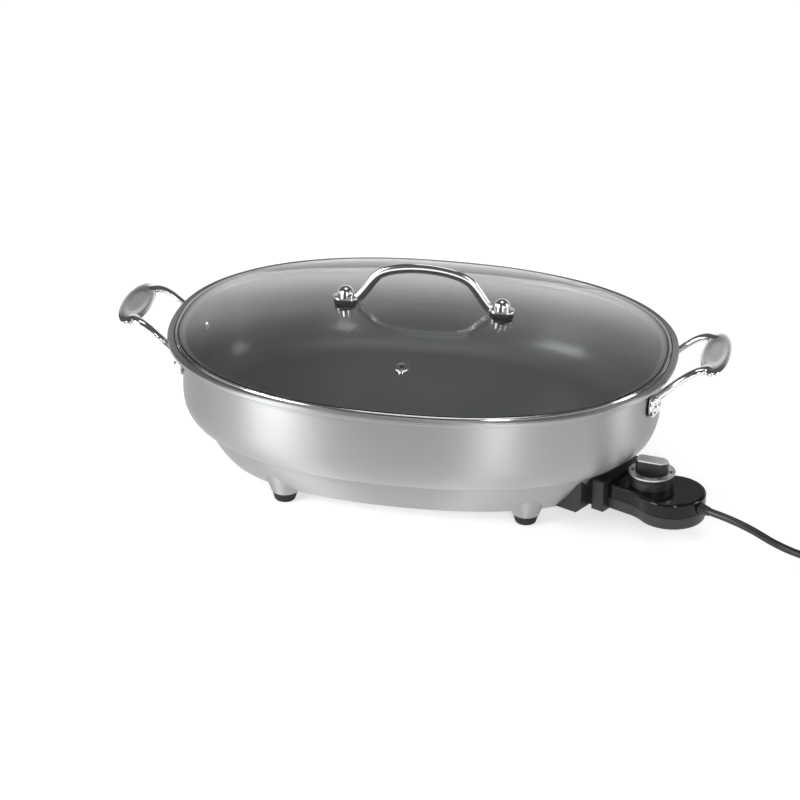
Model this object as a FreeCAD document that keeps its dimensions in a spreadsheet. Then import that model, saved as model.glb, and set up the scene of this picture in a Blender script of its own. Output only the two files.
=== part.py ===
import FreeCAD, Part

import math
import os

import Sketcher

Vector = FreeCAD.Vector
Rotation = FreeCAD.Rotation
Placement = FreeCAD.Placement

# Electric skillet: an oval pan on a heated base, a lift-off glass lid and a pull-out temperature control.
# X runs along the pan from handle to handle, -Y is the front, Z is up and Z = 0 is under the feet.
# Control pieces are drawn in their own frame, whose X axis runs out of the pan along the sensor rod.

DIMENSIONS = {
    # Rim and pan
    "rim_half_length": 202,
    "rim_half_width": 156,
    "oval_power": 2.25,
    "rim_height": 118.3,
    "rim_lip_height": 4,
    "rim_flat_width": 5,
    "rim_edge_break": 0.9,
    "ledge_drop": 3.2,
    "ledge_thickness": 1.8,
    "wall_inset": 12,
    "wall_thickness": 2.6,
    "corner_radius": 29,
    "floor_thickness": 6,
    "inner_corner_radius": 20,
    "pan_underside": 41,
    "end_draw": 9.5,
    "draw_start": 20,
    # Base skirt, legs, feet and bottom cover
    "seam_height": 43.2,
    "skirt_bottom": 12.6,
    "skirt_lean": 16,
    "skirt_draw": 8,
    "skirt_bulge": 2.2,
    "skirt_sheet": 1.2,
    "skirt_lip": 7,
    "foot_spacing_x": 192,
    "foot_spacing_y": 142,
    "leg_top_radius": 18,
    "leg_top_height": 27,
    "leg_bottom_radius": 10.6,
    "foot_height": 7.6,
    "foot_top_radius": 9.9,
    "foot_bottom_radius": 8.2,
    "foot_screw_radius": 1.8,
    "screw_depth": 6,
    "cover_thickness": 1,
    "fit_gap": 0.3,
    "hole_gap": 0.05,
    # Heating
    "plate_half_length": 124,
    "plate_half_width": 80,
    "plate_underside": 31.1,
    "element_radius": 3.5,
    "element_bend": 21,
    "pin_radius": 2.25,
    "pin_spacing": 28,
    "pin_length": 25,
    "well_width": 14,
    "well_start": 32,
    "well_length": 44,
    # Line of the sensor rod and control
    "probe_start_x": 74.5,
    "probe_angle": 27,
    "probe_height": 27.5,
    # Socket guard
    "guard_half_width": 40,
    "guard_bottom": 14.2,
    "guard_top": 42.4,
    "guard_face": 91.5,
    "guard_neck_length": 3.5,
    "collar_half_width": 28.6,
    "collar_length": 10.8,
    "collar_bottom": 15,
    "collar_top": 41,
    "socket_half_width": 19.5,
    "socket_half_height": 9.3,
    # Control housing
    "housing_half_width": 21.5,
    "housing_length": 71.5,
    "housing_end_radius": 27,
    "housing_waist_radius": 30,
    "housing_bottom": 16,
    "housing_split": 26,
    "housing_top": 38,
    "housing_wall": 2,
    "housing_edge_round": 2.4,
    "carrier_half_width": 18.6,
    "carrier_half_height": 7.5,
    "carrier_reach": 8,
    "sleeve_radius": 4,
    "sleeve_length": 20,
    "sensor_radius": 3,
    "sensor_reach": 64,
    "dial_from_end": 44,
    "dial_collar_radius": 17,
    "dial_collar_height": 7.6,
    # Knob
    "dial_radius": 18.2,
    "dial_ring_width": 5.2,
    "dial_base_thickness": 1.6,
    "dial_ring_thickness": 1,
    "grip_length": 25,
    "grip_width": 11.5,
    "grip_height": 9.5,
    "grip_cap_thickness": 1.6,
    "grip_turn": 17.7,
    "spindle_radius": 2.5,
    # Cord and plug
    "cord_diameter": 6,
    "relief_length": 8,
    "coil_radius": 39,
    "coil_gap": 0.6,
    "coil_tail": 20,
    "plug_length": 38,
    "plug_width": 26,
    "plug_thickness": 19,
    "blade_length": 17,
    "blade_spacing": 12.7,
    # Side handles
    "paddle_reach": 231.9,
    "paddle_height": 124.6,
    "paddle_half_width": 12.1,
    "paddle_half_length": 40.8,
    "paddle_thickness": 6.4,
    "paddle_tilt": 6,
    "paddle_dish_depth": 1.1,
    "handle_spread": 75,
    "rivet_height": 92,
    "rivet_radius": 3,
    "rivet_head_radius": 5.2,
    "rivet_head_height": 3.4,
    "handle_plate_thickness": 4.6,
    "leg_width": 8.6,
    # Lid
    "lid_gap": 0.5,
    "ring_wall": 0.7,
    "ring_width": 4.4,
    "glass_thickness": 3.6,
    "dome_rise": 25,
    "bolt_spacing": 124.6,
    "tab_length": 20,
    "tab_width": 12.5,
    "tab_thickness": 3,
    "spacer_depth": 2.3,
    "lid_bar_width": 8,
    "lid_bar_thickness": 4.4,
    "lid_bar_rise": 32,
    "lid_shoulder_spacing": 73,
    "lid_shoulder_rise": 24.4,
    "lid_bar_bend": 80,
    "bolt_radius": 2.5,
    "nut_radius": 6.3,
    "nut_height": 8.6,
    "vent_offset": 97,
    "vent_radius": 5.6,
    "vent_bore": 1.6,
}

OVAL_POINTS = 40
CORNER_STEPS = 6
WALL_STEPS = 4
DOME_LEVELS = (1.0, 0.94, 0.86, 0.74, 0.6, 0.45, 0.3, 0.15, 0.04)

document = FreeCAD.newDocument("electric_skillet")
sheet = document.addObject("Spreadsheet::Sheet", "sizes")
nodes = []


def fill_sheet():
    for row, (name, number) in enumerate(DIMENSIONS.items(), start=1):
        sheet.set("A%d" % row, name)
        sheet.set("B%d" % row, str(number))
        sheet.setAlias("B%d" % row, name)
    document.recompute()


def size(name):
    return float(sheet.get(name))


def keep(item, label):
    item.Label = label
    nodes.append(item)
    return item


def add_shape(label, shape, place=None):
    item = document.addObject("Part::Feature", label)
    item.Shape = shape
    if place is not None:
        item.Placement = place
    return keep(item, label)


# Sketch and body helpers


def new_body(label):
    body = document.addObject("PartDesign::Body", label)
    return keep(body, label)


def sketch_on(body, name, plane):
    sketch = body.newObject("Sketcher::SketchObject", name)
    for item in body.Origin.OriginFeatures:
        if item.Role == plane:
            sketch.AttachmentSupport = (item, [""])
    sketch.MapMode = "FlatFace"
    return sketch


def pin_point(sketch, element, point, corner):
    for kind, formula in zip(("DistanceX", "DistanceY"), corner):
        index = sketch.addConstraint(Sketcher.Constraint(kind, -1, 1, element, point, evaluate(formula)))
        sketch.setExpression("Constraints[%d]" % index, formula)


def evaluate(formula):
    return float(sheet.evalExpression(formula.replace("sizes.", "")))


def polygon_sketch(body, name, plane, corners):
    sketch = sketch_on(body, name, plane)
    spots = [Vector(evaluate(across), evaluate(up), 0) for across, up in corners]
    count = len(spots)
    for index in range(count):
        sketch.addGeometry(Part.LineSegment(spots[index], spots[(index + 1) % count]), False)
    for index in range(count):
        following = (index + 1) % count
        sketch.addConstraint(Sketcher.Constraint("Coincident", index, 2, following, 1))
    for index, corner in enumerate(corners):
        pin_point(sketch, index, 1, corner)
    return sketch


def circle_sketch(body, name, plane, circles):
    sketch = sketch_on(body, name, plane)
    for index, (across, up, radius) in enumerate(circles):
        centre = Vector(evaluate(across), evaluate(up), 0)
        circle = Part.Circle(centre, Vector(0, 0, 1), evaluate(radius))
        sketch.addGeometry(circle, False)
        pin_point(sketch, index, 3, (across, up))
        limit = sketch.addConstraint(Sketcher.Constraint("Radius", index, evaluate(radius)))
        sketch.setExpression("Constraints[%d]" % limit, radius)
    return sketch


def pad(body, sketch, length):
    feature = body.newObject("PartDesign::Pad", sketch.Name + "_pad")
    feature.Profile = sketch
    feature.setExpression("Length", length)
    document.recompute()
    return feature


def revolve(body, sketch):
    feature = body.newObject("PartDesign::Revolution", sketch.Name + "_turn")
    feature.Profile = sketch
    feature.ReferenceAxis = (sketch, ["V_Axis"])
    feature.Angle = 360
    document.recompute()
    return feature


# Ovals, levels and lofts


def oval_wire(half_length, half_width, height):
    power = 2.0 / size("oval_power")
    points = []
    marks = [float(step) for step in range(OVAL_POINTS + 1)]
    for step in range(OVAL_POINTS):
        turn = 2 * math.pi * step / OVAL_POINTS
        across = math.copysign(abs(math.cos(turn)) ** power, math.cos(turn))
        along = math.copysign(abs(math.sin(turn)) ** power, math.sin(turn))
        points.append(Vector(half_length * across, half_width * along, height))
    curve = Part.BSplineCurve()
    curve.interpolate(Points=points, PeriodicFlag=True, Parameters=marks)
    return Part.Wire([curve.toShape()])


def rim_oval(inset, height, extra=0.0):
    half_length = size("rim_half_length") - inset
    half_width = size("rim_half_width") - inset - extra
    return oval_wire(half_length, half_width, height)


def oval_block(inset, bottom, top):
    face = Part.Face(rim_oval(inset, bottom))
    return face.extrude(Vector(0, 0, top - bottom))


def front_draw(height):
    start = size("rim_height") - size("draw_start")
    depth = max(0.0, start - height)
    return size("end_draw") * (depth / (start - size("seam_height"))) ** 2


def bowl_levels(floor, radius, inset):
    """Heights and insets of a bowl's wall, from its floor round the corner and up to the lip."""
    corner_height = floor + radius
    top = size("rim_height") - size("rim_lip_height")
    levels = []
    for step in range(CORNER_STEPS, -1, -1):
        turn = math.radians(90.0 * step / CORNER_STEPS)
        levels.append((corner_height - radius * math.sin(turn), inset + radius * (1 - math.cos(turn))))
    for step in range(1, WALL_STEPS + 1):
        levels.append((corner_height + (top - corner_height) * step / WALL_STEPS, inset))
    return levels


def bowl_solid(levels):
    return Part.makeLoft([rim_oval(inset, height, front_draw(height)) for height, inset in levels], True, False)


def pan_solid(offset):
    floor = size("pan_underside") + offset
    return bowl_solid(bowl_levels(floor, size("corner_radius") - offset, size("wall_inset") + offset))


def pan_cavity():
    floor = size("pan_underside") + size("floor_thickness")
    inset = size("wall_inset") + size("wall_thickness")
    levels = bowl_levels(floor, size("inner_corner_radius"), inset)
    levels.append((size("rim_height") + 1, inset))
    return bowl_solid(levels)


def pan_inset_at(height):
    radius = size("corner_radius")
    drop = size("pan_underside") + radius - height
    return size("wall_inset") + radius - math.sqrt(radius ** 2 - max(0.0, drop) ** 2)


def skirt_solid(offset):
    top = size("seam_height")
    bottom = size("skirt_bottom")
    top_inset = pan_inset_at(top)
    wires = []
    for step in range(5):
        share = step / 4.0
        height = bottom + (top - bottom) * share
        lean = size("skirt_lean") * (1 - share)
        bulge = size("skirt_bulge") * 4 * share * (1 - share)
        draw = front_draw(top) + size("skirt_draw") * (1 - share)
        wires.append(rim_oval(top_inset + lean - bulge + offset, height, draw))
    return Part.makeLoft(wires, True, False)


def rod(radius, start, end):
    line = end - start
    return Part.makeCylinder(radius, line.Length, start, line)


def bead(radius, height, start, direction):
    """A domed head: a slice of a ball with the given rim radius and height."""
    ball = (radius ** 2 + height ** 2) / (2 * height)
    unit = Vector(direction).normalize()
    sphere = Part.makeSphere(ball, start - unit * (ball - height))
    keeper = Part.makeCylinder(radius * 1.2, height * 1.2, start, unit)
    return sphere.common(keeper)


def slab(low, high):
    extent = high - low
    return Part.makeBox(extent.x, extent.y, extent.z, low)


# Paths with tangent arcs


def rounded_path(points, radius_at):
    """Straight runs joined by tangent arcs; gives the wire and the radii used."""
    edges = []
    radii = []
    start = points[0]
    for before, corner, after in zip(points, points[1:], points[2:]):
        into = (corner - before).normalize()
        away = (after - corner).normalize()
        half = into.getAngle(away) / 2
        shorter = min((corner - before).Length, (after - corner).Length)
        radius = radius_at(shorter, half)
        reach = radius * math.tan(half)
        first = corner - into * reach
        last = corner + away * reach
        inward = (away - into).normalize()
        middle = corner + inward * (radius / math.cos(half) - radius)
        edges.append(Part.LineSegment(start, first).toShape())
        edges.append(Part.Arc(first, middle, last).toShape())
        radii.append(radius)
        start = last
    edges.append(Part.LineSegment(start, points[-1]).toShape())
    return Part.Wire(edges), radii


def tube_along(path, radius):
    first = path.Edges[0]
    start = first.valueAt(first.FirstParameter)
    heading = first.tangentAt(first.FirstParameter)
    ring = Part.Wire([Part.makeCircle(radius, start, heading)])
    return path.makePipeShell([ring], True, False)


# Control frame


def probe_frame():
    turn = Rotation(Vector(0, 0, 1), -size("probe_angle"))
    return Placement(Vector(size("probe_start_x"), 0, 0), turn)


def on_probe(along, across, height):
    return probe_frame().multVec(Vector(along, across, height))


def in_probe_frame(shape):
    moved = shape.copy()
    moved.Placement = probe_frame().multiply(moved.Placement)
    return moved


def collar_face():
    return size("guard_face") + size("guard_neck_length") + size("collar_length")


def housing_start():
    return collar_face() + size("hole_gap")


def housing_end_centre():
    return housing_start() + size("housing_length") - size("housing_end_radius")


def dial_place():
    return housing_start() + size("dial_from_end") - size("dial_radius") + size("hole_gap")


# Pan, rim and handles


def rim_band():
    top = size("rim_height")
    lip_bottom = top - size("rim_lip_height")
    chamfer = size("rim_edge_break")
    stack = ((chamfer, lip_bottom), (0, lip_bottom + chamfer), (0, top - chamfer), (chamfer, top))
    outer = Part.makeLoft([rim_oval(inset, height) for inset, height in stack], True, True)
    ledge = top - size("ledge_drop")
    under = oval_block(size("rim_flat_width") - 1, ledge - size("ledge_thickness"), ledge)
    band = outer.fuse(under)
    return band.cut(oval_block(size("rim_flat_width"), ledge, top + 1))


def rivet_spots():
    """Rivet centre on the wall's outside and the wall's direction there, for each of the four rivets."""
    power = size("oval_power")
    half_length = size("rim_half_length") - size("wall_inset")
    half_width = size("rim_half_width") - size("wall_inset") - front_draw(size("rivet_height"))
    across = size("handle_spread") / 2
    reach = half_length * (1 - (across / half_width) ** power) ** (1 / power)
    slope_x = (reach / half_length) ** (power - 1) / half_length
    slope_y = (across / half_width) ** (power - 1) / half_width
    spots = []
    for side in (1, -1):
        for end in (1, -1):
            spot = Vector(side * reach, end * across, size("rivet_height"))
            outward = Vector(side * slope_x, end * slope_y, 0).normalize()
            spots.append((spot, outward))
    return spots


def make_pan():
    shell = pan_solid(0).fuse(rim_band())
    shell = shell.cut(pan_cavity())
    for spot, outward in rivet_spots():
        hole = rod(size("rivet_radius") + size("hole_gap"), spot - outward * 12, spot + outward * 4)
        shell = shell.cut(hole)
    add_shape("pan_body", shell.removeSplitter())


def handle_paddle():
    """The dished oval grip, tilted up at its outer edge, for the right-hand side."""
    thickness = size("paddle_thickness")
    long_half = size("paddle_half_length")
    short_half = size("paddle_half_width")
    oval = Part.Ellipse(Vector(0, 0, 0), long_half, short_half)
    wire = Part.Wire([oval.toShape()])
    block = Part.Face(wire).extrude(Vector(0, 0, thickness))
    block = block.makeFillet(thickness * 0.36, block.Edges)
    dish_wires = []
    for share, sink in ((0.84, -0.2), (0.7, 0.62), (0.4, 1.0), (0.15, 1.08)):
        rim = Part.Ellipse(Vector(0, 0, thickness - size("paddle_dish_depth") * sink), long_half * share,
                           short_half * share)
        dish_wires.append(Part.Wire([rim.toShape()]))
    dish = Part.makeLoft(dish_wires, True, False)
    block = block.cut(dish)
    block.rotate(Vector(0, 0, 0), Vector(0, 0, 1), 90)
    block.translate(Vector(0, 0, -thickness / 2))
    block.rotate(Vector(0, 0, 0), Vector(0, 1, 0), -size("paddle_tilt"))
    block.translate(Vector(size("paddle_reach"), 0, size("paddle_height")))
    return block


def handle_leg(spot, outward, end):
    """One tapering leg with its thick rounded foot plate against the wall."""
    width = size("leg_width")
    thickness = size("handle_plate_thickness")
    plate_half = width * 0.95
    plate_drop = width * 0.75
    base = spot - outward * 1.5
    plate = Part.makeCylinder(plate_half, thickness + 1.5, base, outward)
    raised = Part.makeCylinder(plate_half * 0.8, thickness + 1.5, base + Vector(0, 0, plate_drop), outward)
    plate = plate.fuse(raised)
    root = spot + outward * (thickness * 0.5) + Vector(0, 0, plate_drop)
    tip_y = end * size("paddle_half_length") * 0.78
    tip = Vector(size("paddle_reach") - size("paddle_half_width") * 0.35, tip_y, size("paddle_height"))
    bend = Vector(root.x + (tip.x - root.x) * 0.72, root.y + (tip.y - root.y) * 0.6, tip.z - 1.6)
    heading = bend - root
    stations = ((root, heading, 0.42), (root + heading * 0.5, heading, 0.4), (bend, heading, 0.44))
    rings = []
    for centre, along, share in stations:
        rings.append(Part.Wire([Part.makeCircle(width * share, centre, along)]))
    leg = Part.makeLoft(rings, True, False)
    shoulder = Part.makeSphere(width * 0.44, bend)
    arm = Part.makeCone(width * 0.44, width * 0.36, (tip - bend).Length, bend, tip - bend)
    knuckle = Part.makeSphere(width * 0.42, root)
    return plate.fuse([leg, shoulder, arm, knuckle])


def make_side_handles():
    wall_top = size("rim_height") - size("rim_lip_height") - 1
    clear_wall = oval_block(size("wall_inset") - size("hole_gap") * 2, size("pan_underside"), wall_top)
    handle = handle_paddle()
    for spot, outward in rivet_spots()[:2]:
        handle = handle.fuse(handle_leg(spot, outward, math.copysign(1, spot.y)))
    clear_rim = oval_block(-size("fit_gap"), wall_top, size("rim_height") + size("fit_gap"))
    handle = handle.cut([clear_wall, clear_rim])
    through = size("handle_plate_thickness") * 4
    for spot, outward in rivet_spots()[:2]:
        hole = rod(size("rivet_radius") + size("hole_gap"), spot - outward * size("wall_thickness"),
                   spot + outward * through)
        handle = handle.cut(hole)
        face = spot + outward * size("handle_plate_thickness")
        handle = handle.cut(rod(size("rivet_head_radius") + 0.2, face, face + outward * 6))
    add_shape("side_handle_right", handle)
    add_shape("side_handle_left", handle.mirror(Vector(0, 0, 0), Vector(1, 0, 0)))


def make_handle_rivets():
    spots = rivet_spots()
    for name, pair in (("handle_rivets_right", spots[:2]), ("handle_rivets_left", spots[2:])):
        rivets = []
        for spot, outward in pair:
            face = spot + outward * size("handle_plate_thickness")
            inside = spot - outward * (size("wall_thickness") + size("fit_gap"))
            rivet = rod(size("rivet_radius"), inside, face)
            rivet = rivet.fuse(bead(size("rivet_head_radius"), size("rivet_head_height"), face, outward))
            rivet = rivet.fuse(bead(size("rivet_head_radius"), size("rivet_head_height") * 0.6, inside, -outward))
            rivets.append(rivet.removeSplitter())
        add_shape(name, Part.makeCompound(rivets))


# Base skirt, feet and cover


def foot_spots():
    half_x = size("foot_spacing_x") / 2
    half_y = size("foot_spacing_y") / 2
    return [
        ("front_left", -half_x, -half_y),
        ("front_right", half_x, -half_y),
        ("rear_left", -half_x, half_y),
        ("rear_right", half_x, half_y),
    ]


def leg_cone(east, north, offset):
    bottom = size("foot_height") + offset
    rise = size("leg_top_height") - size("foot_height") - offset * 2
    low = size("leg_bottom_radius") - offset
    high = size("leg_top_radius") - offset
    return Part.makeCone(low, high, rise, Vector(east, north, bottom))


def window_block(start, end, margin=0.0):
    half_width = size("socket_half_width") + margin
    half_height = size("socket_half_height") + margin
    centre = size("probe_height")
    low = Vector(start, -half_width, centre - half_height)
    high = Vector(end, half_width, centre + half_height)
    return slab(low, high)


def make_skirt():
    sheet_thickness = size("skirt_sheet")
    skirt = skirt_solid(0)
    for name, east, north in foot_spots():
        skirt = skirt.fuse(leg_cone(east, north, 0))
    hollow = skirt_solid(sheet_thickness)
    raised = oval_block(size("wall_inset"), size("skirt_bottom") + sheet_thickness, size("seam_height") + 1)
    hollow = hollow.common(raised)
    for name, east, north in foot_spots():
        hollow = hollow.fuse(leg_cone(east, north, sheet_thickness))
    skirt = skirt.cut(hollow)
    mouth_inset = pan_inset_at(size("seam_height")) + size("skirt_lean") + size("skirt_lip")
    mouth = Part.Face(rim_oval(mouth_inset, 0, front_draw(size("seam_height")) + size("skirt_draw")))
    mouth = mouth.extrude(Vector(0, 0, size("skirt_bottom") + sheet_thickness * 2))
    for name, east, north in foot_spots():
        mouth = mouth.cut(leg_cone(east, north, 0))
    skirt = skirt.cut(mouth)
    skirt = skirt.cut(pan_solid(0))
    skirt = skirt.cut(in_probe_frame(window_block(60, collar_face())))
    for spot in guard_screw_spots():
        hole = rod(size("foot_screw_radius") + size("hole_gap"), *screw_line(spot))
        skirt = skirt.cut(hole)
    for name, east, north in foot_spots():
        radius = size("foot_screw_radius") + size("hole_gap")
        skirt = skirt.cut(Part.makeCylinder(radius, 30, Vector(east, north, 0)))
    add_shape("base_skirt", skirt.removeSplitter())


def make_foot(name, east, north):
    body = new_body("rubber_foot_" + name)
    hole = "(sizes.foot_screw_radius + sizes.hole_gap)"
    corners = (
        (hole, "0.8"),
        ("sizes.foot_bottom_radius - 2.6", "0"),
        ("sizes.foot_bottom_radius - 0.8", "0"),
        ("sizes.foot_bottom_radius", "0.8"),
        ("sizes.foot_top_radius", "sizes.foot_height - 1.2"),
        ("sizes.foot_top_radius", "sizes.foot_height"),
        (hole, "sizes.foot_height"),
    )
    profile = polygon_sketch(body, "foot_profile_" + name, "XZ_Plane", corners)
    revolve(body, profile)
    body.Placement = Placement(Vector(east, north, 0), Rotation())


def make_feet():
    for name, east, north in foot_spots():
        make_foot(name, east, north)


def make_foot_screws():
    screws = []
    radius = size("foot_screw_radius")
    seat = size("foot_height") + size("skirt_sheet")
    for name, east, north in foot_spots():
        shank = Part.makeCylinder(radius, seat - 2, Vector(east, north, 2))
        nut = Part.makeCylinder(radius * 2.2, 2.4, Vector(east, north, seat))
        screws.append(shank.fuse(nut))
    add_shape("foot_screws", Part.makeCompound(screws))


def cover_seat():
    return size("skirt_bottom") + size("skirt_sheet")


def make_bottom_cover():
    bottom = cover_seat()
    inset = pan_inset_at(size("seam_height")) + size("skirt_lean") + size("skirt_sheet")
    draw = front_draw(size("seam_height")) + size("skirt_draw")
    plate = Part.Face(rim_oval(inset + 0.2, bottom, draw)).extrude(Vector(0, 0, size("cover_thickness")))
    for name, east, north in foot_spots():
        share = (bottom - size("foot_height")) / (size("leg_top_height") - size("foot_height"))
        radius = size("leg_bottom_radius") + (size("leg_top_radius") - size("leg_bottom_radius")) * share + 1
        plate = plate.cut(Part.makeCylinder(radius, 20, Vector(east, north, 0)))
    for east in cover_screw_places():
        plate = plate.cut(Part.makeCylinder(size("foot_screw_radius") + size("hole_gap"), 40, Vector(east, 0, 0)))
    add_shape("bottom_cover", plate)


def cover_screw_places():
    return (-size("plate_half_length") / 2, size("plate_half_length") / 4)


def make_cover_screws():
    screws = []
    radius = size("foot_screw_radius")
    for east in cover_screw_places():
        head = Part.makeCylinder(radius * 2, 1.6, Vector(east, 0, cover_seat() - 1.6))
        shank = Part.makeCylinder(radius, 10, Vector(east, 0, cover_seat() - 1.6))
        screws.append(head.fuse(shank))
    add_shape("cover_screws", Part.makeCompound(screws))


# Heater


def make_heat_plate():
    bottom = size("plate_underside")
    top = size("pan_underside")
    plate = Part.Face(oval_wire(size("plate_half_length"), size("plate_half_width"), bottom))
    plate = plate.extrude(Vector(0, 0, top - bottom))
    half = size("well_width") / 2
    low = Vector(size("well_start"), -half, size("probe_height") - half)
    high = Vector(size("well_start") + size("well_length"), half, bottom + 2)
    plate = plate.fuse(in_probe_frame(slab(low, high)))
    for east in cover_screw_places():
        plate = plate.fuse(Part.makeCylinder(5, bottom - cover_seat() - 1, Vector(east, 0, cover_seat() + 1)))
        plate = plate.cut(Part.makeCylinder(size("foot_screw_radius") + size("hole_gap"), 10,
                                            Vector(east, 0, cover_seat())))
    bore_start = Vector(collar_face() - size("sensor_reach") - 2, 0, size("probe_height"))
    bore_end = Vector(size("rim_half_length"), 0, size("probe_height"))
    bore = rod(size("sensor_radius") + size("fit_gap") + 0.1, bore_start, bore_end)
    plate = plate.cut(in_probe_frame(bore))
    add_shape("heat_plate", plate.removeSplitter())


def sheath_end():
    return collar_face() - 18


def element_height():
    return size("plate_underside") - size("element_radius") - 0.1


def make_heating_element():
    half = size("pin_spacing") / 2
    height = element_height()
    reach_x = size("plate_half_length") - 22
    reach_y = size("plate_half_width") - 20
    corners = [
        on_probe(sheath_end(), half, height),
        on_probe(38, half, height),
        Vector(reach_x - 12, reach_y, height),
        Vector(-reach_x, reach_y, height),
        Vector(-reach_x, -reach_y, height),
        Vector(reach_x * 0.48, -reach_y, height),
        on_probe(38, -half, height),
        on_probe(sheath_end(), -half, height),
    ]
    path, radii = rounded_path(corners, lambda shorter, half_turn: size("element_bend"))
    add_shape("heating_element", tube_along(path, size("element_radius")))


def make_terminals():
    pins = []
    bushes = []
    half = size("pin_spacing") / 2
    for side in (half, -half):
        start = Vector(sheath_end(), side, element_height())
        pin = rod(size("pin_radius"), start, start + Vector(size("pin_length"), 0, 0))
        pins.append(in_probe_frame(pin))
        bush = rod(size("element_radius") + 0.8, start, start + Vector(5, 0, 0))
        bush = bush.cut(rod(size("pin_radius") + size("hole_gap"), start, start + Vector(5, 0, 0)))
        bushes.append(in_probe_frame(bush))
    add_shape("terminal_pins", Part.makeCompound(pins))
    add_shape("terminal_insulators", Part.makeCompound(bushes))


# Socket guard


def guard_screw_spots():
    half = size("guard_half_width") - 8
    return [Vector(0, side, size("probe_height")) for side in (half, -half)]


def skirt_reach(across):
    """How far along the probe a line beside it leaves the skirt."""
    line = Part.makeLine(Vector(0, across, size("probe_height")),
                         Vector(size("rim_half_length"), across, size("probe_height")))
    inside = in_probe_frame(line).common(skirt_solid(0))
    ends = [probe_frame().inverse().multVec(vertex.Point) for vertex in inside.Vertexes]
    return max(end.x for end in ends)


def screw_line(spot):
    start = on_probe(skirt_reach(spot.y) - size("screw_depth"), spot.y, spot.z)
    end = on_probe(size("guard_face") - 3, spot.y, spot.z)
    return start, end


def make_socket_guard():
    face = size("guard_face")
    neck = face + size("guard_neck_length")
    end = collar_face()
    wide = size("guard_half_width")
    collar = size("collar_half_width")
    low = size("guard_bottom")
    high = size("guard_top")
    flange = slab(Vector(55, -wide, low), Vector(face, wide, high))
    flange = flange.makeChamfer(2.5, [edge for edge in flange.Edges if edge.CenterOfMass.x > face - 1])
    middle = slab(Vector(face, 3 - collar, low + 3), Vector(neck, collar - 3, high - 4))
    front = slab(Vector(neck, -collar, size("collar_bottom")), Vector(end, collar, size("collar_top")))
    front = front.makeFillet(1.5, [edge for edge in front.Edges if abs(edge.CenterOfMass.y) > collar - 0.1])
    guard = flange.fuse([middle, front])
    ear = slab(Vector(neck - 2, collar - 8, size("collar_top") - 2), Vector(neck + 1, collar - 4, high + 3))
    guard = guard.fuse(ear)
    guard = guard.cut(window_block(50, end + 1))
    guard = in_probe_frame(guard)
    guard = guard.cut(skirt_solid(-size("hole_gap") * 3))
    guard = guard.cut(pan_solid(-size("fit_gap")))
    for name, east, north in foot_spots():
        guard = guard.cut(Part.makeCone(size("leg_bottom_radius") + size("fit_gap"),
                                        size("leg_top_radius") + size("fit_gap"),
                                        size("leg_top_height") - size("foot_height"),
                                        Vector(east, north, size("foot_height"))))
    for spot in guard_screw_spots():
        guard = guard.cut(rod(size("foot_screw_radius") + size("hole_gap"), *screw_line(spot)))
    guard = max(guard.Solids, key=lambda solid: solid.Volume)
    add_shape("socket_guard", guard.removeSplitter())


def make_guard_screws():
    screws = []
    for spot in guard_screw_spots():
        start, end = screw_line(spot)
        heading = (end - start).normalize()
        head = rod(size("foot_screw_radius") * 1.9, start, start + heading * 1.8)
        screws.append(rod(size("foot_screw_radius"), start, end - heading * 0.5).fuse(head))
    add_shape("guard_screws", Part.makeCompound(screws))


# Control


def housing_wire(offset, height):
    """Outline of the control: a straight neck, a hollow curve and a round end, moved inwards by an offset."""
    start = housing_start() + offset
    centre = housing_end_centre()
    half = size("housing_half_width") - offset
    round_end = size("housing_end_radius") - offset
    hollow = size("housing_waist_radius") + offset
    reach = math.sqrt((round_end + hollow) ** 2 - (half + hollow) ** 2)
    share = round_end / (round_end + hollow)
    join = Vector(centre - reach * share, -(half + hollow) * share, height)
    waist = Vector(centre - reach, -half, height)
    sag_heading = (join + waist) * 0.5 - Vector(centre - reach, -(half + hollow), height)
    sag = Vector(centre - reach, -(half + hollow), height) + sag_heading.normalize() * hollow
    tip = Vector(centre + round_end, 0, height)

    def other(point):
        return Vector(point.x, -point.y, point.z)

    corner = Vector(start, -half, height)
    edges = [
        Part.LineSegment(corner, waist).toShape(),
        Part.Arc(waist, sag, join).toShape(),
        Part.Arc(join, tip, other(join)).toShape(),
        Part.Arc(other(join), other(sag), other(waist)).toShape(),
        Part.LineSegment(other(waist), other(corner)).toShape(),
        Part.LineSegment(other(corner), corner).toShape(),
    ]
    return Part.Wire(edges)


def housing_block(offset, bottom, top):
    return Part.Face(housing_wire(offset, bottom)).extrude(Vector(0, 0, top - bottom))


def carrier_opening(margin):
    half_width = size("carrier_half_width") + margin
    half_height = size("carrier_half_height") + margin
    centre = size("probe_height")
    low = Vector(collar_face() - size("carrier_reach"), -half_width, centre - half_height)
    high = Vector(housing_start() + 16, half_width, centre + half_height)
    return slab(low, high)


def relief_groove(margin):
    """The strain relief: a flange held between the shells and a tapered tail."""
    wall_end = housing_end_centre() + size("housing_end_radius")
    height = relief_height()
    tail = size("cord_diameter") / 2
    inner = wall_end - size("housing_wall") - 1.6
    start = Vector(inner - 2, 0, height)
    flange = rod(tail + 3.4 + margin, start, start + Vector(2.4, 0, 0))
    neck = rod(tail + 1.8 + margin, start, Vector(wall_end + 1, 0, height))
    cone = Part.makeCone(tail + 1.8 + margin, tail + 0.4, size("relief_length") - 1,
                         Vector(wall_end + 1, 0, height), Vector(1, 0, 0))
    return flange.fuse([neck, cone])


def relief_height():
    return size("probe_height") + 2.5


def top_edges(shape, height):
    return [edge for edge in shape.Edges if abs(edge.BoundBox.ZMin - height) < 0.01
            and abs(edge.BoundBox.ZMax - height) < 0.01]


def boss_spots():
    return ((housing_start() + 20, 15.5), (housing_start() + 20, -15.5), (housing_end_centre() + 14, 0))


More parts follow.
